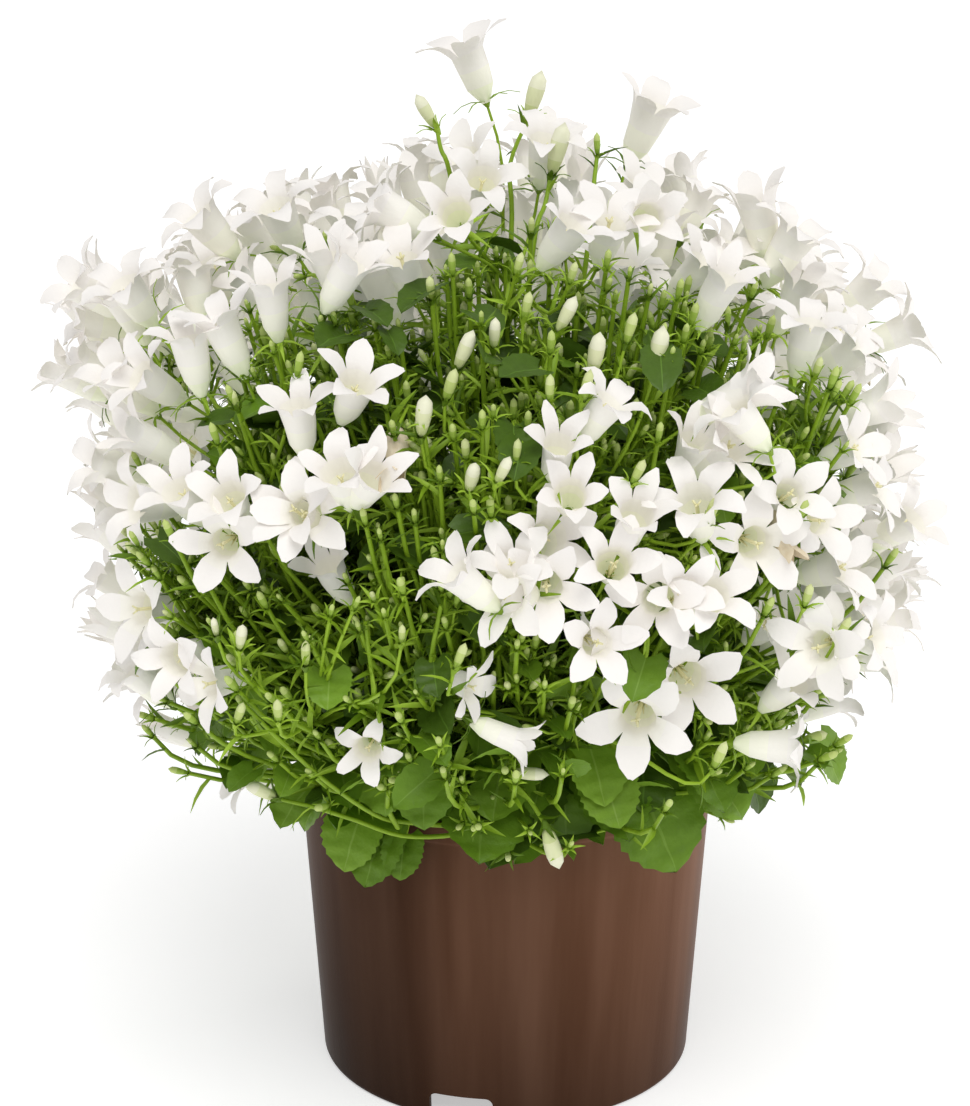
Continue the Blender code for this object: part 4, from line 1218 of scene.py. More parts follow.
    def add_core_leaves(self):
        """Leaves on long stalks from the root crown, which fill the crown's foot and shade its inside."""
        rng = self.rng
        for _ in range(CORE_LEAVES):
            direction = polar(rng.uniform(0, 360), rng.uniform(2, 75))
            outermost = 0.55 if direction.z > 0.34 else 0.76
            middle = GROWTH_POINT + direction * (reach(direction) * rng.uniform(0.20, outermost))
            if middle.z > GROWTH_POINT.z + 0.075:
                continue
            along = (polar(azimuth_of(direction) + rng.gauss(0, 60), 0) + Vector((0, 0, rng.uniform(-0.5, 0.4))))
            along.normalize()
            length = rng.uniform(0.014, 0.022)
            foot = middle - along * (0.5 * length)
            tip = middle + along * (0.5 * length)
            if not clears_pot([foot, tip]) or self.crowded(middle, 0.002):
                continue
            face = (Vector((0, 0, 1)) + scattered(rng, 0.35)).normalized()
            self.leaves.append((foot, along, face, length, length * rng.uniform(0.75, 0.95)))
            start = Vector((rng.gauss(0, 0.010), rng.gauss(0, 0.010), SOIL_TOP - 0.001))
            heading = (direction + Vector((0, 0, 0.8))).normalized()
            self.stalks.append(bowed(start, heading, foot, along, 0.0006, 0.00045, steps=6))

    def add_rim_leaves(self):
        """The leaves that the photograph shows over the rim, and as many more round the back."""
        rng = self.rng
        rows = list(RIM_LEAVES)
        rows += [((360 - azimuth + 7) % 360, height + rng.uniform(-0.003, 0.004), length, out)
                 for azimuth, height, length, out in RIM_LEAVES if (360 - azimuth + 7) % 360 < 172]
        for azimuth, height, length, out in rows:
            direction = polar(azimuth, 0)
            middle = direction * out
            middle.z = height
            slope = -1.6 if height < RIM_LEAF_LEVEL else -0.75
            along = (direction + Vector((0, 0, slope)) + scattered(rng, 0.18)).normalized()
            foot = middle - along * (0.5 * length)
            face = (Vector((0, 0, 1)) + direction * 0.5 + scattered(rng, 0.15)).normalized()
            self.rim_leaves.append((foot, along, face, length, length * rng.uniform(0.95, 1.1)))
            start = polar(azimuth + rng.gauss(0, 8), 0) * 0.022
            start.z = SOIL_TOP
            over = direction * 0.056
            over.z = max(POT_HEIGHT + 0.004, height)
            first = bowed(start, Vector((0, 0, 1)), over, direction, 0.0007, 0.0006, steps=6)
            second = bowed(over, direction, foot, along, 0.0006, 0.0005, steps=5)
            self.stalks.append(Shoot(points=first.points + second.points[1:], foot=0.0007, tip=0.0005))

    def grow(self):
        self.add_front_bells()
        self.add_more_bells()
        self.add_mass_stems()
        self.add_basal_stems()
        self.add_standing_shoots()
        self.add_leaning_shoots()
        self.add_trailing_shoots()
        self.add_runners()
        self.add_withered_bells()
        self.add_bells()
        self.add_planned_buds()
        self.add_front_buds()
        self.add_planned_leaves()
        self.add_rim_leaves()
        self.add_core_leaves()


class Template:
    """A small shape as arrays, to be set many times into one mesh. Its length runs along +Z from the origin."""

    def __init__(self, bm):
        bm.verts.index_update()
        self.places = np.array([vertex.co[:] for vertex in bm.verts])
        self.faces = [[vertex.index for vertex in face.verts] for face in bm.faces]
        self.looks = [face.material_index for face in bm.faces]
        bm.free()


def frame_at(place, along, face, size):
    """The placing of a template whose +Z goes along a direction and whose +Y turns to a face's side."""
    side = face.cross(along).normalized()
    up = along.cross(side).normalized()
    turn = Matrix((side, up, along)).transposed()
    return np.array(turn) * np.array(size), np.array(place)


def joined(name, settings, looks, nodes):
    """One mesh of many templates, each with its turn, its place and the look its own first look becomes."""
    places, faces, indices = [], [], []
    count = 0
    for template, (turn, place), shift in settings:
        places.append(template.places @ turn.T + place)
        faces.extend([[corner + count for corner in face] for face in template.faces])
        indices.extend([look + shift for look in template.looks])
        count += len(template.places)
    mesh = bpy.data.meshes.new(name)
    mesh.from_pydata(np.concatenate(places), [], faces)
    for look in looks:
        mesh.materials.append(look)
    mesh.polygons.foreach_set("material_index", indices)
    mesh.shade_smooth()
    obj = bpy.data.objects.new(name, mesh)
    return finished(obj, nodes)


def finished(obj, nodes):
    """Links a piece, sets it on the root body and hides the solids it stands for."""
    if obj.name not in bpy.context.scene.collection.objects:
        bpy.context.scene.collection.objects.link(obj)
    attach(obj, "root")
    if nodes:
        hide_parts(*nodes)
    return obj


def stem_piece(name, shoots, sides, look, nodes):
    """Stems as one curve of many tapering splines, made a mesh."""
    curve = bpy.data.curves.new(name, "CURVE")
    curve.dimensions = "3D"
    curve.bevel_depth = 1
    curve.bevel_resolution = sides
    curve.use_fill_caps = True
    for shoot in shoots:
        spline = curve.splines.new("POLY")
        spline.points.add(len(shoot.points) - 1)
        last = len(shoot.points) - 1
        for step, place in enumerate(shoot.points):
            spline.points[step].co = (*place, 1)
            spline.points[step].radius = shoot.foot + (shoot.tip - shoot.foot) * step / last
    holder = bpy.data.objects.new(name + "_curve", curve)
    bpy.context.scene.collection.objects.link(holder)
    graph = bpy.context.evaluated_depsgraph_get()
    mesh = bpy.data.meshes.new_from_object(holder.evaluated_get(graph))
    bpy.data.objects.remove(holder, do_unlink=True)
    mesh.name = name
    mesh.materials.clear()
    mesh.materials.append(look)
    mesh.shade_smooth()
    return finished(bpy.data.objects.new(name, mesh), nodes)


# The corolla in millimetres: a tube, then five lobes that open out and curl back.
TUBE_LENGTH = 17.5
TUBE_FOOT_RADIUS = 1.3
TUBE_ROWS = 3
TUBE_BANDS = (0.9, 0.62, 0.30)
LOBE_LENGTH = 10.6
LOBE_ROWS = 4
COROLLAS = (
    SimpleNamespace(mouth=4.3, start=2, end=14, tube=1.02, lobe=0.95, widths=(1.0, 1.02, 0.86, 0.52, 0.04)),
    SimpleNamespace(mouth=5.2, start=8, end=62, tube=1.05, lobe=1.0, widths=(1.0, 1.12, 1.08, 0.80, 0.16)),
    SimpleNamespace(mouth=5.5, start=10, end=98, tube=1.05, lobe=1.0, widths=(1.0, 1.12, 1.08, 0.80, 0.16)),
    SimpleNamespace(mouth=5.6, start=12, end=132, tube=1.02, lobe=1.02, widths=(1.0, 1.10, 1.06, 0.80, 0.16)),
    SimpleNamespace(mouth=5.0, start=28, end=90, tube=0.84, lobe=1.08, widths=(1.0, 1.34, 1.38, 1.06, 0.24)),
    SimpleNamespace(mouth=4.9, start=38, end=102, tube=0.80, lobe=1.10, widths=(1.0, 1.38, 1.43, 1.10, 0.24)),
)
WITHERED_FORM = SimpleNamespace(mouth=3.0, start=-8, end=30, tube=0.7, lobe=0.8, widths=(1.0, 1.15, 1.1, 0.7, 0.1))


def corolla_midline(form):
    """The middle line of one petal as (radius, height) rows, and the half width of each row over the mouth's."""
    rows = []
    for row in range(TUBE_ROWS + 1):
        share = row / TUBE_ROWS
        swell = 2.9 * (1 - math.exp(-6 * share))
        radius = TUBE_FOOT_RADIUS + swell + (form.mouth - TUBE_FOOT_RADIUS - 2.9) * share**1.5
        rows.append((radius, form.tube * TUBE_LENGTH * share))
    radius, height = rows[-1]
    step = form.lobe * LOBE_LENGTH / LOBE_ROWS
    for row in range(1, LOBE_ROWS + 1):
        angle = math.radians(form.start + (form.end - form.start) * ((row - 0.5) / LOBE_ROWS) ** 0.9)
        radius += step * math.sin(angle)
        height += step * math.cos(angle)
        rows.append((radius, height))
    return rows


def corolla_template(form, columns, seed, crumple=1.0):
    """One petal made from a grid, spun into five, welded along the tube, then made uneven by soft noise."""
    rows = corolla_midline(form)
    bm = bmesh.new()
    bmesh.ops.create_grid(bm, x_segments=columns, y_segments=len(rows) - 1, size=1)
    half_turn = math.pi / LOBES
    for vertex in bm.verts:
        x = vertex.co.x
        row = round((vertex.co.y + 1) / 2 * (len(rows) - 1))
        radius, height = rows[row]
        if row <= TUBE_ROWS:
            turn = half_turn * x
            crease = 0.12 * (1 - abs(x)) * row / TUBE_ROWS
            vertex.co = ((radius + crease) * math.cos(turn), (radius + crease) * math.sin(turn), height)
            continue
        lobe = row - TUBE_ROWS
        share = lobe / LOBE_ROWS
        mouth = rows[TUBE_ROWS][0]
        half_width = mouth * math.sin(half_turn) * form.widths[lobe]
        sag = mouth * (1 - math.cos(half_turn)) * (1 - share) ** 1.5 + 0.55 * share * (1 - share)
        before, after = rows[row - 1], rows[min(row + 1, len(rows) - 1)]
        slope = math.atan2(after[0] - before[0], after[1] - before[1])
        inwards = Vector((-math.cos(slope), 0, math.sin(slope)))
        vertex.co = Vector((radius, x * half_width, height)) + inwards * (sag * x * x - 0.35 * share * (1 - abs(x)))
    for face in bm.faces:
        height = face.calc_center_median().z
        face.material_index = sum(height < share * TUBE_LENGTH for share in TUBE_BANDS)
        face.smooth = True
    petal = bm.verts[:] + bm.edges[:] + bm.faces[:]
    turn = math.tau * (LOBES - 1) / LOBES
    bmesh.ops.spin(bm, geom=petal, cent=(0, 0, 0), axis=(0, 0, 1), angle=turn, steps=LOBES - 1, use_duplicate=True)
    bmesh.ops.remove_doubles(bm, verts=bm.verts, dist=0.02)
    for vertex in bm.verts:
        share = max(0.0, vertex.co.z / TUBE_LENGTH - 0.3)
        bend = noise.noise_vector(vertex.co * 0.11 + Vector((seed * 7.3, 0, 0)))
        vertex.co += bend * (1.5 * share * crumple)
    bmesh.ops.scale(bm, verts=bm.verts, vec=(MILLIMETRE,) * 3)
    return Template(bm)


def style_template():
    """The style with its three curled stigmas, and the stamens round its foot."""
    bm = bmesh.new()
    up = Matrix.Translation((0, 0, 8.5))
    bmesh.ops.create_cone(bm, segments=5, radius1=0.5, radius2=0.55, depth=14, cap_ends=False, matrix=up)
    for number in range(3):
        turn = Matrix.Rotation(math.tau * number / 3, 4, "Z")
        lean = Matrix.Translation((0, 0, 15)) @ turn @ Matrix.Rotation(0.7, 4, "Y") @ Matrix.Translation((0, 0, 0.9))
        bmesh.ops.create_cone(bm, segments=4, radius1=0.52, radius2=0.3, depth=2.2, cap_ends=True, matrix=lean)
    for number in range(5):
        turn = Matrix.Rotation(math.tau * (number + 0.5) / 5, 4, "Z")
        lean = turn @ Matrix.Translation((1.2, 0, 4.5)) @ Matrix.Rotation(0.22, 4, "Y")
        bmesh.ops.create_cone(bm, segments=3, radius1=0.42, radius2=0.16, depth=5.0, cap_ends=True, matrix=lean)
    bmesh.ops.scale(bm, verts=bm.verts, vec=(MILLIMETRE,) * 3)
    return Template(bm)


def calyx_template(spread, length, radius, seed):
    """The small green cup under a bell or a bud, with five narrow sepals."""
    rng = random.Random(seed)
    bm = bmesh.new()
    up = Matrix.Translation((0, 0, -0.4))
    bmesh.ops.create_cone(bm, segments=6, radius1=0.5, radius2=radius, depth=2.2, cap_ends=False, matrix=up)
    for number in range(LOBES):
        sepal = bmesh.new()
        bmesh.ops.create_grid(sepal, x_segments=2, y_segments=3, size=1)
        own = length * rng.uniform(0.8, 1.15)
        lean = spread + rng.gauss(0, 0.16)
        for vertex in sepal.verts:
            share = (vertex.co.y + 1) / 2
            width = 0.72 * (1 - share) ** 0.7 + 0.03
            droop = lean + 0.55 * share
            out = own * share
            keel = -0.22 * (1 - abs(vertex.co.x))
            vertex.co = (
                0.85 * radius + out * math.sin(droop) + keel * math.cos(droop),
                vertex.co.x * width,
                0.5 + out * math.cos(droop) - keel * math.sin(droop),
            )
        turn = Matrix.Rotation(math.tau * (number + 0.5) / LOBES + rng.gauss(0, 0.1), 4, "Z")
        bmesh.ops.transform(sepal, matrix=turn, verts=sepal.verts)
        scrap = bpy.data.meshes.new("sepal")
        sepal.to_mesh(scrap)
        sepal.free()
        bm.from_mesh(scrap)
        bpy.data.meshes.remove(scrap)
    bmesh.ops.scale(bm, verts=bm.verts, vec=(MILLIMETRE,) * 3)
    return Template(bm)


# The heights at which a bud passes from one shade to the next, paler one.
BUD_BANDS = (0.3, 0.62)
BUD_WIDTHS = (0.27, 0.30, 0.32)
BUD_FIRST_SHADES = (0, 1, 3)


def bud_template(base, middle):
    """A closed bud of unit length with five soft ribs, blunt at its tip, whose lower part has a look of its own."""
    bm = bmesh.new()
    bmesh.ops.create_uvsphere(bm, u_segments=10, v_segments=6, radius=1)
    for vertex in bm.verts:
        share = math.acos(max(-1.0, min(1.0, -vertex.co.z))) / math.pi
        turn = math.atan2(vertex.co.y, vertex.co.x)
        if share < middle:
            radius = base + (1 - base) * math.sin(math.pi / 2 * share / middle)
        else:
            radius = math.sqrt(max(0.0, 1 - ((share - middle) / (1 - middle)) ** 2.1))
        if share < 0.001:
            radius = 0
        radius *= 0.5 * (1 + 0.08 * math.cos(5 * turn))
        vertex.co = (radius * math.cos(turn), radius * math.sin(turn), share)
    for face in bm.faces:
        height = face.calc_center_median().z
        face.material_index = sum(height > share for share in BUD_BANDS)
    return Template(bm)


def bract_template():
    """A narrow pointed leaf of unit length and width, folded along its midrib and curved."""
    bm = bmesh.new()
    bmesh.ops.create_grid(bm, x_segments=2, y_segments=3, size=1)
    for vertex in bm.verts:
        share = (vertex.co.y + 1) / 2
        width = 0.5 * math.sin(math.pi * min(1.0, 0.28 + 0.72 * share)) + 0.04
        fold = 0.30 * abs(vertex.co.x) * width
        vertex.co = (vertex.co.x * width, fold - 0.9 * share * share, share)
    return Template(bm)


# A leaf's half width along its length, as shares of its whole width.
LEAF_OUTLINE_AT = (0.0, 0.05, 0.14, 0.28, 0.42, 0.56, 0.70, 0.83, 0.93, 1.0)
MIDRIB_SHARE = 0.035
LEAF_LOOKS = 3
LEAF_OUTLINE = (0.28, 0.41, 0.48, 0.50, 0.495, 0.47, 0.41, 0.30, 0.16, 0.0)


def leaf_template(rows, columns, teeth, cup, droop, seed):
    """A heart-shaped toothed leaf of unit length and width, quilted between its veins, with a pale midrib."""
    bm = bmesh.new()
    bmesh.ops.create_grid(bm, x_segments=columns, y_segments=rows, size=1)
    for face in bm.faces:
        face.material_index = LEAF_LOOKS if abs(face.calc_center_median().x) < 1 / columns else 0
    for vertex in bm.verts:
        across = abs(vertex.co.x)
        x = math.copysign(MIDRIB_SHARE if across < 1.5 / columns else across, vertex.co.x)
        row = round((vertex.co.y + 1) / 2 * rows)
        share = row / rows
        half = float(np.interp(share, LEAF_OUTLINE_AT, LEAF_OUTLINE))
        tooth = teeth * (1 if row % 2 else -0.5) * half * 2 if across > 0.9 and 0 < row < rows else 0
        heart = -0.20 * abs(x) ** 1.5 * max(0.0, 1 - share / 0.35) ** 1.5
        quilt = 0.016 * math.cos(math.tau * 3.5 * (share - 0.45 * across * half)) * math.sin(math.pi * across)
        rise = cup * abs(x) * half - droop * share * share + quilt
        wave = 0.04 * noise.noise(Vector((x * 1.3, share * 2.5, seed * 5.1)))
        vertex.co = (x * (half + tooth), rise + wave, share + heart + 0.5 * tooth)
    return Template(bm)


def mottle_group():
    """A soft drift between two colours, with a height for bump, shared by every leaf, stem, petal and plastic."""
    group = bpy.data.node_groups.new("soft mottle", "ShaderNodeTree")
    for socket, kind, direction in (
        ("Scale", "NodeSocketFloat", "INPUT"),
        ("First Colour", "NodeSocketColor", "INPUT"),
        ("Second Colour", "NodeSocketColor", "INPUT"),
        ("Colour", "NodeSocketColor", "OUTPUT"),
        ("Height", "NodeSocketFloat", "OUTPUT"),
    ):
        group.interface.new_socket(name=socket, in_out=direction, socket_type=kind)
    nodes, links = group.nodes, group.links
    entry, leave = nodes.new("NodeGroupInput"), nodes.new("NodeGroupOutput")
    place = nodes.new("ShaderNodeTexCoord")
    cloud = nodes.new("ShaderNodeTexNoise")
    cloud.inputs["Detail"].default_value = 3
    mix = nodes.new("ShaderNodeMix")
    mix.data_type = "RGBA"
    links.new(place.outputs["Object"], cloud.inputs["Vector"])
    links.new(entry.outputs["Scale"], cloud.inputs["Scale"])
    links.new(cloud.outputs["Fac"], mix.inputs["Factor"])
    links.new(entry.outputs["First Colour"], mix.inputs["A"])
    links.new(entry.outputs["Second Colour"], mix.inputs["B"])
    links.new(mix.outputs["Result"], leave.inputs["Colour"])
    links.new(cloud.outputs["Fac"], leave.inputs["Height"])
    return group


def plain(name, colour, roughness, sheen=0.0, glow=0.0):
    """A material with plain settings on its own shader, and the nodes to add to."""
    made = bpy.data.materials.new(name)
    made.use_nodes = True
    shader = made.node_tree.nodes["Principled BSDF"]
    shader.inputs["Base Color"].default_value = (*colour, 1)
    shader.inputs["Roughness"].default_value = roughness
    shader.inputs["Specular IOR Level"].default_value = 0.28
    shader.inputs["Sheen Weight"].default_value = sheen
    shader.inputs["Emission Color"].default_value = (*colour, 1)
    shader.inputs["Emission Strength"].default_value = glow
    return made, made.node_tree.nodes, made.node_tree.links, shader


def bumped(name, colour, roughness, group, scale, height, strength=1.0, other=None, sheen=0.0, glow=0.0):
    """A plain material with a soft bump, whose colour drifts to another where one is given."""
    made, nodes, links, shader = plain(name, colour, roughness, sheen, glow)
    mottle = nodes.new("ShaderNodeGroup")
    mottle.node_tree = group
    mottle.inputs["Scale"].default_value = scale
    bump = nodes.new("ShaderNodeBump")
    bump.inputs["Distance"].default_value = height
    bump.inputs["Strength"].default_value = strength
    links.new(mottle.outputs["Height"], bump.inputs["Height"])
    links.new(bump.outputs["Normal"], shader.inputs["Normal"])
    if other:
        mottle.inputs["First Colour"].default_value = (*colour, 1)
        mottle.inputs["Second Colour"].default_value = (*other, 1)
        links.new(mottle.outputs["Colour"], shader.inputs["Base Color"])
    return made


def make_looks():
    """Every finish on the plant and its pot."""
    mottle = mottle_group()
    looks = SimpleNamespace()
    # The petals glow faintly: painted light that stands in for light shining through them.
    looks.petals = [
        bumped("petal_white", (0.815, 0.787, 0.755), 0.6, mottle, 900, 0.0002, 0.5, glow=0.15),
        bumped("petal_warm", (0.815, 0.793, 0.735), 0.6, mottle, 900, 0.0002, 0.5, glow=0.16),
        bumped("petal_cream", (0.83, 0.82, 0.71), 0.6, mottle, 900, 0.0002, 0.5, glow=0.16),
        bumped("petal_foot", (0.80, 0.82, 0.63), 0.6, mottle, 900, 0.0002, 0.5, glow=0.17),
        bumped("petal_fading", (0.76, 0.62, 0.42), 0.65, mottle, 700, 0.0004, 0.8, other=(0.86, 0.78, 0.62)),
    ]
    looks.style = [bumped("style_cream", (0.86, 0.82, 0.50), 0.5, mottle, 900, 0.0001, 0.4)]
    looks.buds = [
        bumped("bud_deep", (0.22, 0.36, 0.030), 0.5, mottle, 600, 0.0002, 0.5, other=(0.28, 0.43, 0.045)),
        bumped("bud_green", (0.31, 0.46, 0.060), 0.5, mottle, 600, 0.0002, 0.5, other=(0.38, 0.53, 0.090)),
        bumped("bud_light", (0.48, 0.59, 0.16), 0.5, mottle, 600, 0.0002, 0.5, other=(0.55, 0.65, 0.23)),
        bumped("bud_straw", (0.61, 0.68, 0.29), 0.5, mottle, 600, 0.0002, 0.5, other=(0.67, 0.72, 0.37)),
        bumped("bud_pale", (0.73, 0.76, 0.44), 0.5, mottle, 600, 0.0002, 0.5, other=(0.77, 0.79, 0.51)),
        bumped("bud_cream", (0.81, 0.81, 0.58), 0.5, mottle, 600, 0.0002, 0.5, other=(0.84, 0.84, 0.65)),
    ]
    looks.stem = bumped("stem_green", (0.17, 0.29, 0.010), 0.45, mottle, 240, 0.0002, 0.5, other=(0.30, 0.47, 0.026))
    looks.twig = bumped("twig_green", (0.24, 0.40, 0.016), 0.45, mottle, 240, 0.0002, 0.4, other=(0.36, 0.54, 0.038))
    looks.bracts = [
        bumped("bract_dark", (0.09, 0.17, 0.007), 0.5, mottle, 500, 0.0002, 0.4, other=(0.13, 0.23, 0.010)),
        bumped("bract_green", (0.19, 0.32, 0.012), 0.5, mottle, 500, 0.0002, 0.4, other=(0.25, 0.40, 0.022)),
        bumped("bract_light", (0.30, 0.47, 0.030), 0.5, mottle, 500, 0.0002, 0.4, other=(0.38, 0.56, 0.055)),
    ]
    looks.leaves = [
        bumped("leaf_dark", (0.052, 0.102, 0.008), 0.42, mottle, 420, 0.0004, 0.7, other=(0.080, 0.155, 0.012)),
        bumped("leaf_mid", (0.112, 0.220, 0.012), 0.42, mottle, 420, 0.0004, 0.7, other=(0.155, 0.285, 0.020)),
        bumped("leaf_light", (0.165, 0.305, 0.019), 0.45, mottle, 420, 0.0004, 0.7, other=(0.225, 0.385, 0.033)),
        bumped("leaf_vein_dark", (0.11, 0.21, 0.024), 0.45, mottle, 420, 0.0002, 0.5),
        bumped("leaf_vein", (0.18, 0.31, 0.036), 0.45, mottle, 420, 0.0002, 0.5),
        bumped("leaf_vein_light", (0.26, 0.42, 0.060), 0.45, mottle, 420, 0.0002, 0.5),
    ]
    looks.soil = bumped("damp_compost", (0.014, 0.009, 0.006), 0.95, mottle, 500, 0.001, 1.0, other=(0.045, 0.028, 0.018))
    looks.wood = bumped("woody_crown", (0.14, 0.10, 0.05), 0.8, mottle, 300, 0.0008, 1.0, other=(0.22, 0.18, 0.08))
    looks.pot = pot_look(mottle)
    return looks


def pot_look(mottle):
    """Moulded brown plastic with soft upright streaks whose lighter bands are painted soft reflections, with painted
    shade at its left side and foot and painted light at its right side.
    """
    made, nodes, links, shader = plain("moulded_brown", (0.080, 0.031, 0.014), 0.36)
    shader.inputs["Specular IOR Level"].default_value = 0.02
    place = nodes.new("ShaderNodeTexCoord")
    stretch = nodes.new("ShaderNodeMapping")
    stretch.inputs["Scale"].default_value = (1, 1, 0.045)
    streaks = nodes.new("ShaderNodeTexNoise")
    streaks.inputs["Scale"].default_value = 70
    streaks.inputs["Detail"].default_value = 4
    # The streaks' colour ramp: its lighter bands are painted soft reflections. The same streaks also set the roughness
    # and a real ripple bump.
    tint = nodes.new("ShaderNodeValToRGB")
    tint.color_ramp.elements[0].position = 0.35
    tint.color_ramp.elements[0].color = (0.099, 0.044, 0.024, 1)
    tint.color_ramp.elements[1].position = 0.68
    tint.color_ramp.elements[1].color = (0.156, 0.078, 0.048, 1)
    links.new(place.outputs["Object"], stretch.inputs["Vector"])
    links.new(stretch.outputs["Vector"], streaks.inputs["Vector"])
    axes = nodes.new("ShaderNodeSeparateXYZ")
    links.new(place.outputs["Object"], axes.inputs["Vector"])
    # Painted shade: the pot's left side is darker.
    flank = nodes.new("ShaderNodeMapRange")
    flank.interpolation_type = "SMOOTHSTEP"
    flank.inputs["From Min"].default_value = -0.034
    flank.inputs["From Max"].default_value = -0.010
    flank.inputs["To Min"].default_value = 0.52
    links.new(axes.outputs["X"], flank.inputs["Value"])
    # Painted shade: the pot darkens towards its foot, by the floor.
    foot = nodes.new("ShaderNodeMapRange")
    foot.inputs["From Min"].default_value = 0.0
    foot.inputs["From Max"].default_value = 0.072
    foot.inputs["To Min"].default_value = 0.38
    links.new(axes.outputs["Z"], foot.inputs["Value"])
    # Painted light: the pot's right side is brighter, as a painted sheen.
    lit = nodes.new("ShaderNodeMapRange")
    lit.inputs["From Min"].default_value = 0.005
    lit.inputs["From Max"].default_value = 0.055
    lit.inputs["To Min"].default_value = 1.0
    lit.inputs["To Max"].default_value = 1.70
    links.new(axes.outputs["X"], lit.inputs["Value"])
    # The painted light and shade of the two sides, then with the foot's painted shade.
    sides = nodes.new("ShaderNodeMath")
    sides.operation = "MULTIPLY"
    links.new(flank.outputs["Result"], sides.inputs[0])
    links.new(lit.outputs["Result"], sides.inputs[1])
    shade = nodes.new("ShaderNodeMath")
    shade.operation = "MULTIPLY"
    links.new(sides.outputs["Value"], shade.inputs[0])
    links.new(foot.outputs["Result"], shade.inputs[1])
    # The streak colour scaled by the painted light and shade.
    lit_and_shaded_colour = nodes.new("ShaderNodeVectorMath")
    lit_and_shaded_colour.operation = "SCALE"
    links.new(streaks.outputs["Fac"], tint.inputs["Fac"])
    links.new(tint.outputs["Color"], lit_and_shaded_colour.inputs["Vector"])
    links.new(shade.outputs["Value"], lit_and_shaded_colour.inputs["Scale"])
    links.new(lit_and_shaded_colour.outputs["Vector"], shader.inputs["Base Color"])
    rough = nodes.new("ShaderNodeMapRange")
    rough.inputs["To Min"].default_value = 0.30
    rough.inputs["To Max"].default_value = 0.46
    links.new(streaks.outputs["Fac"], rough.inputs["Value"])
    links.new(rough.outputs["Result"], shader.inputs["Roughness"])
    grain = nodes.new("ShaderNodeGroup")
    grain.node_tree = mottle
    grain.inputs["Scale"].default_value = 1400
    bump = nodes.new("ShaderNodeBump")
    bump.inputs["Distance"].default_value = 0.00006
    bump.inputs["Strength"].default_value = 0.5
    links.new(grain.outputs["Height"], bump.inputs["Height"])
    ripple = nodes.new("ShaderNodeBump")
    ripple.inputs["Distance"].default_value = 0.0006
    ripple.inputs["Strength"].default_value = 0.35
    links.new(streaks.outputs["Fac"], ripple.inputs["Height"])
    links.new(bump.outputs["Normal"], ripple.inputs["Normal"])
    links.new(ripple.outputs["Normal"], shader.inputs["Normal"])
    return made


def spun(bm, profile, steps):
    """A turned skin from a profile of (radius, height), swept a full turn."""
    corners = [bm.verts.new((radius, 0, height)) for radius, height in profile]
    edges = [bm.edges.new(pair) for pair in zip(corners, corners[1:])]
    bmesh.ops.spin(
        bm,
        geom=corners + edges,
        cent=(0, 0, 0),
        axis=(0, 0, 1),
        angle=math.tau,
        steps=steps,
        use_merge=True,
    )
    bmesh.ops.remove_doubles(bm, verts=bm.verts, dist=0.00001)
    bmesh.ops.recalc_face_normals(bm, faces=bm.faces)


def rounded(profile, radius, steps=3):
    """The same profile with each inner corner rounded off by a small arc."""
    made = [profile[0]]
    for before, corner, after in zip(profile, profile[1:], profile[2:]):
        here = Vector((*corner, 0))
        back, on = Vector((*before, 0)) - here, Vector((*after, 0)) - here
        cut = min(radius, 0.45 * back.length, 0.45 * on.length)
        one, other = here + back.normalized() * cut, here + on.normalized() * cut
        for point in interpolate_bezier(one, one.lerp(here, 0.6), other.lerp(here, 0.6), other, steps):
            made.append((point.x, point.y))
    return made + [profile[-1]]


def pot_radius(height):
    """The outer radius of the pot's wall at a height."""
    return FOOT_RADIUS + (RIM_RADIUS - FOOT_RADIUS) * height / POT_HEIGHT


def make_pot(looks):
    """The pot as one turned shell, with its rim line, foot ring and three notches."""
    band = POT_HEIGHT - RIM_BAND_HEIGHT
    floor_top = FLOOR_UNDERSIDE + FLOOR_THICKNESS
    lip = RIM_RADIUS + RIM_BAND_STEP
    inner_foot = FOOT_RADIUS - POT_WALL - FOOT_INSET
    profile = [
        (0, floor_top),
        (pot_radius(floor_top) - POT_WALL, floor_top),
        (RIM_RADIUS - POT_WALL, POT_HEIGHT),
        (lip, POT_HEIGHT),
        (pot_radius(band) + RIM_BAND_STEP, band),
        (pot_radius(band) - 0.0001, band - 0.0006),
        (pot_radius(band - 0.002), band - 0.002),
        (pot_radius(0.030), 0.030),
        (pot_radius(FOOT_CORNER), FOOT_CORNER),
        (FOOT_RADIUS - FOOT_INSET, 0),
        (inner_foot, 0),
        (inner_foot + pot_radius(FLOOR_UNDERSIDE) - FOOT_RADIUS, FLOOR_UNDERSIDE),
        (0, FLOOR_UNDERSIDE),
    ]
    bm = bmesh.new()
    spun(bm, rounded(profile, 0.0005), 160)
    mesh = bpy.data.meshes.new("pot_shell")
    bm.to_mesh(mesh)
    bm.free()
    mesh.materials.append(looks.pot)
    pot = bpy.data.objects.new("pot_shell", mesh)
    bpy.context.scene.collection.objects.link(pot)
    cutters = [notch_cutter(NOTCH_AZIMUTH + 360 / NOTCHES * number) for number in range(NOTCHES)]
    for cutter in cutters:
        cut = pot.modifiers.new(cutter.name, "BOOLEAN")
        cut.operation = "DIFFERENCE"
        cut.object = cutter
        cut.solver = "EXACT"
    graph = bpy.context.evaluated_depsgraph_get()
    notched = bpy.data.meshes.new_from_object(pot.evaluated_get(graph))
    pot.modifiers.clear()
    pot.data = notched
    for cutter in cutters:
        bpy.data.objects.remove(cutter, do_unlink=True)
    notched.shade_smooth()
    notched.set_sharp_from_angle(angle=math.radians(35))
    finished(pot, ["pot"])


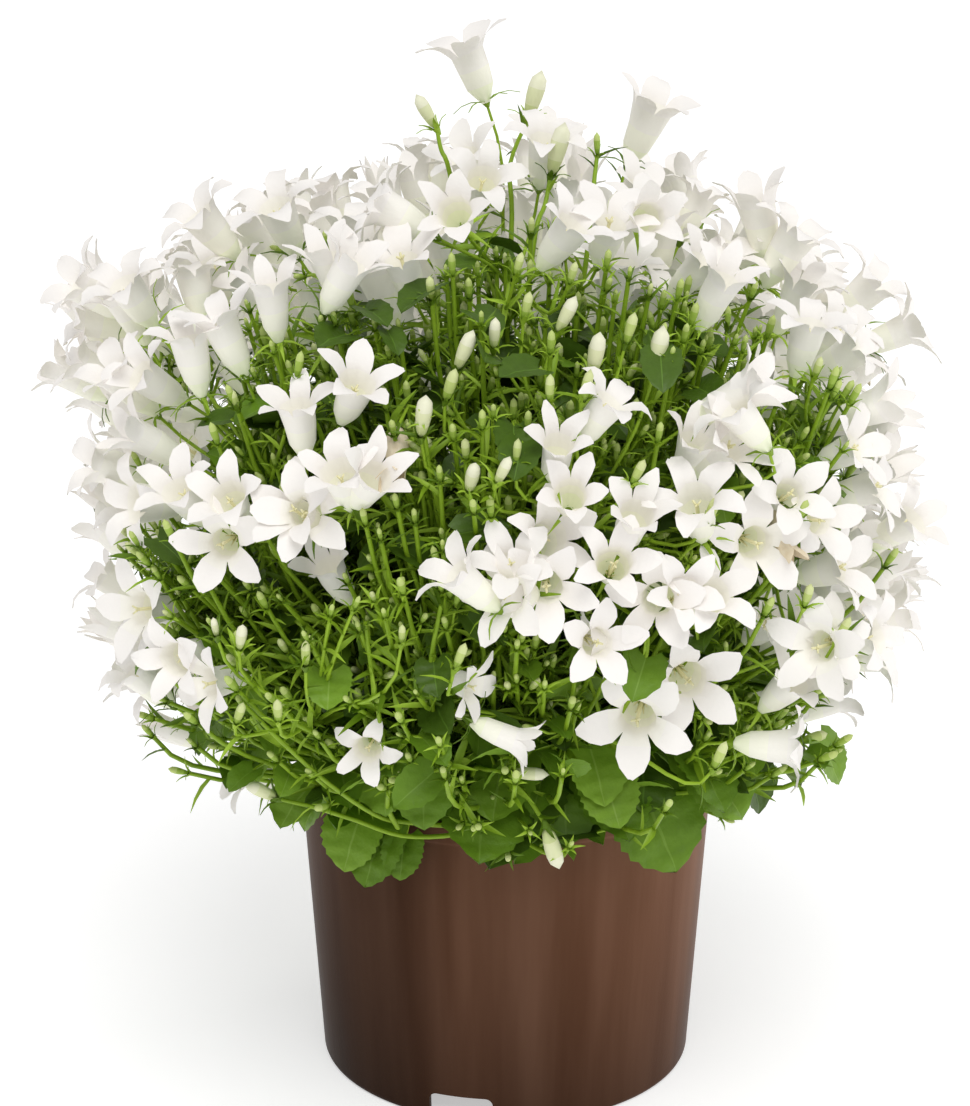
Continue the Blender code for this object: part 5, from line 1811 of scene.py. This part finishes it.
def notch_cutter(azimuth):
    """A block with rounded upper corners that cuts one notch through the foot ring."""
    bm = bmesh.new()
    bmesh.ops.create_cube(bm, size=1)
    bmesh.ops.scale(bm, verts=bm.verts, vec=(NOTCH_DEPTH, NOTCH_WIDTH, 2 * NOTCH_HEIGHT))
    upper = []
    for edge in bm.edges:
        one, other = (corner.co for corner in edge.verts)
        if one.z > 0 and other.z > 0 and abs(one.y - other.y) < 1e-6:
            upper.append(edge)
    bmesh.ops.bevel(
        bm,
        geom=upper,
        offset=NOTCH_CORNER,
        segments=6,
        profile=0.5,
        affect="EDGES",
        clamp_overlap=False,
        material=-1,
    )
    turn = Matrix.Translation(polar(azimuth, 0) * pot_radius(0)) @ Matrix.Rotation(math.radians(azimuth), 4, "Z")
    bmesh.ops.transform(bm, matrix=turn, verts=bm.verts)
    mesh = bpy.data.meshes.new("notch")
    bm.to_mesh(mesh)
    bm.free()
    cutter = bpy.data.objects.new(f"notch_{azimuth:.0f}", mesh)
    bpy.context.scene.collection.objects.link(cutter)
    return cutter


def make_soil(looks):
    """The compost: a lumpy filled disc in the pot, strewn with crumbs."""
    rng = random.Random(SEED)
    bm = bmesh.new()
    edge = SOIL_TOP - SOIL_EDGE_DROP
    profile = [(0.0, SOIL_TOP - 0.0012)]
    rings = 26
    outer = pot_radius(edge) - POT_WALL - 0.0001
    for ring in range(1, rings + 1):
        profile.append((outer * ring / rings, SOIL_TOP - 0.0012))
    bottom = FLOOR_UNDERSIDE + FLOOR_THICKNESS + CLEAR
    profile += [(pot_radius(bottom) - POT_WALL - CLEAR, bottom), (0, bottom)]
    spun(bm, profile, 96)
    for vertex in bm.verts:
        if vertex.co.z > edge:
            out = math.hypot(vertex.co.x, vertex.co.y) / outer
            lump = 0.0012 * noise.fractal(vertex.co * 260, 1.0, 2.0, 3)
            vertex.co.z += lump * min(1, 12 * (1 - out)) - SOIL_EDGE_DROP * max(0.0, (out - 0.7) / 0.3) ** 2
    mesh = bpy.data.meshes.new("compost")
    bm.to_mesh(mesh)
    bm.free()
    mesh.materials.append(looks.soil)
    mesh.shade_smooth()
    finished(bpy.data.objects.new("compost", mesh), ["potting_soil"])
    crumb = bmesh.new()
    bmesh.ops.create_icosphere(crumb, subdivisions=1, radius=1)
    for vertex in crumb.verts:
        vertex.co *= 1 + 0.35 * noise.noise(vertex.co * 2.3)
    template = Template(crumb)
    settings = []
    for _ in range(1500):
        out = (outer - 0.002) * math.sqrt(rng.random())
        place = polar(rng.uniform(0, 360), 0) * out
        place.z = SOIL_TOP - 0.0008 - SOIL_EDGE_DROP * max(0.0, (out / outer - 0.7) / 0.3) ** 2
        size = rng.uniform(0.0005, 0.0017)
        turn = turned(scattered(rng, 1).normalized(), 0)
        stretch = np.array((size * rng.uniform(0.7, 1.8), size, size * rng.uniform(0.5, 0.9)))
        settings.append((template, (np.array(turn) * stretch, np.array(place)), 0))
    joined("compost_crumbs", settings, [looks.soil], [])


def make_root_crown(looks):
    """The woody knuckle: a knobbly ball with a flat foot in the compost."""
    bm = bmesh.new()
    bmesh.ops.create_icosphere(bm, subdivisions=4, radius=ROOT_CROWN_RADIUS)
    for vertex in bm.verts:
        knob = 0.0022 * noise.fractal(vertex.co * 190, 1.0, 2.0, 3)
        vertex.co += vertex.co.normalized() * knob
        vertex.co.z *= 0.8
    bmesh.ops.translate(bm, verts=bm.verts, vec=GROWTH_POINT - Vector((0, 0, 0.001)))
    geometry = bm.verts[:] + bm.edges[:] + bm.faces[:]
    foot = Vector((0, 0, SOIL_TOP - 0.0015))
    bmesh.ops.bisect_plane(bm, geom=geometry, plane_co=foot, plane_no=(0, 0, 1), clear_inner=True, dist=1e-6)
    rim = [edge for edge in bm.edges if edge.is_boundary]
    bmesh.ops.contextual_create(bm, geom=rim)
    mesh = bpy.data.meshes.new("knuckle")
    bm.to_mesh(mesh)
    bm.free()
    mesh.materials.append(looks.wood)
    mesh.shade_smooth()
    mesh.set_sharp_from_angle(angle=math.radians(50))
    finished(bpy.data.objects.new("woody_knuckle", mesh), ["root_crown"])


def pick_corolla(bell, rng):
    """The form of a bell: stars face outwards, trumpets stand up, and young ones are narrow."""
    if bell.open < 0.7:
        return rng.choice((0, 1))
    if bell.open < 0.9:
        return rng.choice((1, 2))
    if bell.axis.z < 0.55:
        return rng.choice((3, 4, 4, 5, 5))
    return rng.choice((2, 3, 3, 4))


def make_blossom(growth, looks, nodes):
    """Corollas, styles and calyces of every bell, in pieces by height so that each stays small."""
    rng = random.Random(SEED + 1)
    corollas = []
    for number, form in enumerate(COROLLAS):
        corollas.append([corolla_template(form, 2, 4 * number + seed) for seed in range(4)])
    style = style_template()
    calyces = [calyx_template(0.60 + 0.28 * number, 8.6, 1.7, number) for number in range(4)]
    levels = {"upper": [], "middle": [], "lower": []}
    styles, cups = [], []
    for bell in growth.flowers:
        form = pick_corolla(bell, rng)
        template = corollas[form][rng.randrange(4)]
        face = Quaternion(bell.axis, bell.roll) @ bell.axis.orthogonal().normalized()
        size = bell.size * 1.02
        setting = frame_at(bell.foot, bell.axis, face, size)
        height = bell.foot.z - GROWTH_POINT.z
        level = "upper" if height > 0.115 else "middle" if height > 0.06 else "lower"
        levels[level].append((template, setting, 0))
        if form > 1:
            styles.append((style, frame_at(bell.foot, bell.axis, face, size), 0))
        cups.append((rng.choice(calyces), frame_at(bell.foot, bell.axis, face, 0.95), rng.randrange(3)))
    withered = corolla_template(WITHERED_FORM, 2, 40, crumple=2.6)
    withered.looks = [4] * len(withered.looks)
    for bell in growth.withered:
        face = bell.axis.orthogonal().normalized()
        levels["middle"].append((withered, frame_at(bell.foot, bell.axis, face, 0.85), 0))
        cups.append((calyces[0], frame_at(bell.foot, bell.axis, face, 1.0), 0))
    groups = {"upper": [], "middle": [], "lower": []}
    for node in nodes:
        groups["upper" if "top" in node else "middle" if "middle" in node else "lower"].append(node)
    for level, settings in levels.items():
        joined(f"petals_{level}", settings, looks.petals, groups[level])
    joined("styles", styles, looks.style, [])
    joined("calyces", cups, looks.bracts, [])


def make_buds(growth, looks):
    rng = random.Random(SEED + 2)
    forms = [bud_template(0.48, 0.60), bud_template(0.40, 0.66)]
    calyx = [calyx_template(0.35, 4.6, 1.3, 10), calyx_template(0.6, 5.4, 1.3, 11)]
    settings, cups = [], []
    for foot, axis, length, ripeness, roll in growth.buds:
        face = Quaternion(axis, roll) @ axis.orthogonal().normalized()
        width = length * BUD_WIDTHS[ripeness]
        settings.append((rng.choice(forms), frame_at(foot, axis, face, (width, width, length)),
                         BUD_FIRST_SHADES[ripeness]))
        cups.append((rng.choice(calyx), frame_at(foot, axis, face, 0.7 + 0.15 * ripeness), rng.randrange(3)))
    joined("buds", settings, looks.buds, [])
    joined("bud_calyces", cups, looks.bracts, [])


def make_bracts(growth, looks):
    rng = random.Random(SEED + 3)
    template = bract_template()
    settings = []
    for place, axis, heading, length in growth.bracts:
        width = length * rng.uniform(0.09, 0.19)
        face = heading
        settings.append((template, frame_at(place, axis, face, (width, length * 0.3, length)), rng.choice((0, 1, 1, 2))))
    joined("bracts", settings, looks.bracts, [])


def make_leaves(growth, looks, nodes):
    rng = random.Random(SEED + 4)
    small = [leaf_template(8, 5, 0.03, 0.30, 0.16, seed) for seed in range(4)]
    large = [leaf_template(16, 7, 0.028, 0.24, 0.14, seed) for seed in range(4)]
    for name, rows, forms, owned in (
        ("leaves", growth.leaves, small, []),
        ("rim_leaves", growth.rim_leaves, large, nodes),
    ):
        settings = []
        for place, along, face, length, width in rows:
            high = place[2] > GROWTH_POINT.z + DARK_LEAF_RISE
            shade = rng.choice((0, 0, 1)) if high else rng.choice((0, 1, 1, 2))
            settings.append((rng.choice(forms), leaf_frame(place, along, face, length, width), shade))
        joined(name, settings, looks.leaves, owned)


def leaf_frame(place, along, face, length, width):
    """The placing of a leaf: its length along one direction and its upper side to the face."""
    side = along.cross(face).normalized()
    up = side.cross(along).normalized()
    turn = Matrix((side, up, along)).transposed()
    return np.array(turn) * np.array((width, length, length)), np.array(place)


def make_plant(looks):
    """The whole plant, grown by the source's rule and dressed."""
    growth = Growth(plan_masses())
    growth.grow()
    names = [mass.name for mass in growth.masses]
    boughs = [f"bough_{name}" for name in names]
    masses = [f"mass_{name}" for name in names]
    skirt = [name for name in masses if "skirt" in name]
    stem_piece("stems", growth.stems, 2, looks.stem, boughs)
    stem_piece("twigs", growth.twigs, 1, looks.twig, [])
    stem_piece("stalks", growth.stalks, 0, looks.twig, [])
    make_blossom(growth, looks, [name for name in masses if name not in skirt])
    make_buds(growth, looks)
    make_bracts(growth, looks)
    make_leaves(growth, looks, skirt)
    print("bells", len(growth.bells), "buds", len(growth.buds), "bracts", len(growth.bracts), "leaves",
          len(growth.leaves), "rim", len(growth.rim_leaves), "stalks", len(growth.stalks))


# The photograph's camera: its place, how far it looks down, and its focal length over the picture's height.
CAMERA_PLACE = (-0.0061, -0.891, 0.454)
CAMERA_PITCH = 18.7
FOCAL_PIXELS = 3315
PICTURE_HEIGHT_PIXELS = 1106
SENSOR_HEIGHT = 36


def make_camera():
    data = bpy.data.cameras.new("photograph")
    data.sensor_fit = "VERTICAL"
    data.sensor_height = SENSOR_HEIGHT
    data.lens = SENSOR_HEIGHT * FOCAL_PIXELS / PICTURE_HEIGHT_PIXELS
    camera = bpy.data.objects.new("photograph", data)
    camera.location = CAMERA_PLACE
    camera.rotation_euler = (math.radians(90 - CAMERA_PITCH), 0, 0)
    bpy.context.scene.collection.objects.link(camera)
    bpy.context.scene.camera = camera


def area_light(name, place, target, size, power):
    data = bpy.data.lights.new(name, "AREA")
    data.shape = "DISK"
    data.size = size
    data.energy = power
    lamp = bpy.data.objects.new(name, data)
    lamp.location = place
    lamp.rotation_euler = (Vector(target) - Vector(place)).to_track_quat("-Z", "Y").to_euler()
    bpy.context.scene.collection.objects.link(lamp)


def make_studio():
    """A plain pale floor, soft light from the world, a soft sun from above the front and a lamp at the right."""
    bm = bmesh.new()
    bmesh.ops.create_grid(bm, x_segments=1, y_segments=1, size=12)
    mesh = bpy.data.meshes.new("floor")
    bm.to_mesh(mesh)
    bm.free()
    pale, nodes, links, shader = plain("pale_floor", (0.72, 0.72, 0.72), 0.9, glow=0.66)
    mesh.materials.append(pale)
    floor = bpy.data.objects.new("floor", mesh)
    floor.location.z = -0.0002
    bpy.context.scene.collection.objects.link(floor)
    world = bpy.data.worlds.new("studio")
    world.use_nodes = True
    world.node_tree.nodes["Background"].inputs["Color"].default_value = (1, 1, 1, 1)
    world.node_tree.nodes["Background"].inputs["Strength"].default_value = 0.51
    bpy.context.scene.world = world
    bpy.context.scene.view_settings.view_transform = "Standard"
    data = bpy.data.lights.new("key", "SUN")
    data.energy = 1.58
    data.angle = math.radians(38)
    key = bpy.data.objects.new("key", data)
    key.rotation_euler = Vector((-0.08, 0.70, -1.10)).to_track_quat("-Z", "Y").to_euler()
    bpy.context.scene.collection.objects.link(key)
    area_light("side", (1.0, 0.35, 0.35), (0, 0, 0.1), 0.5, 1.6)


def main():
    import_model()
    make_camera()
    looks = make_looks()
    make_pot(looks)
    make_soil(looks)
    make_root_crown(looks)
    make_plant(looks)
    make_studio()


main()
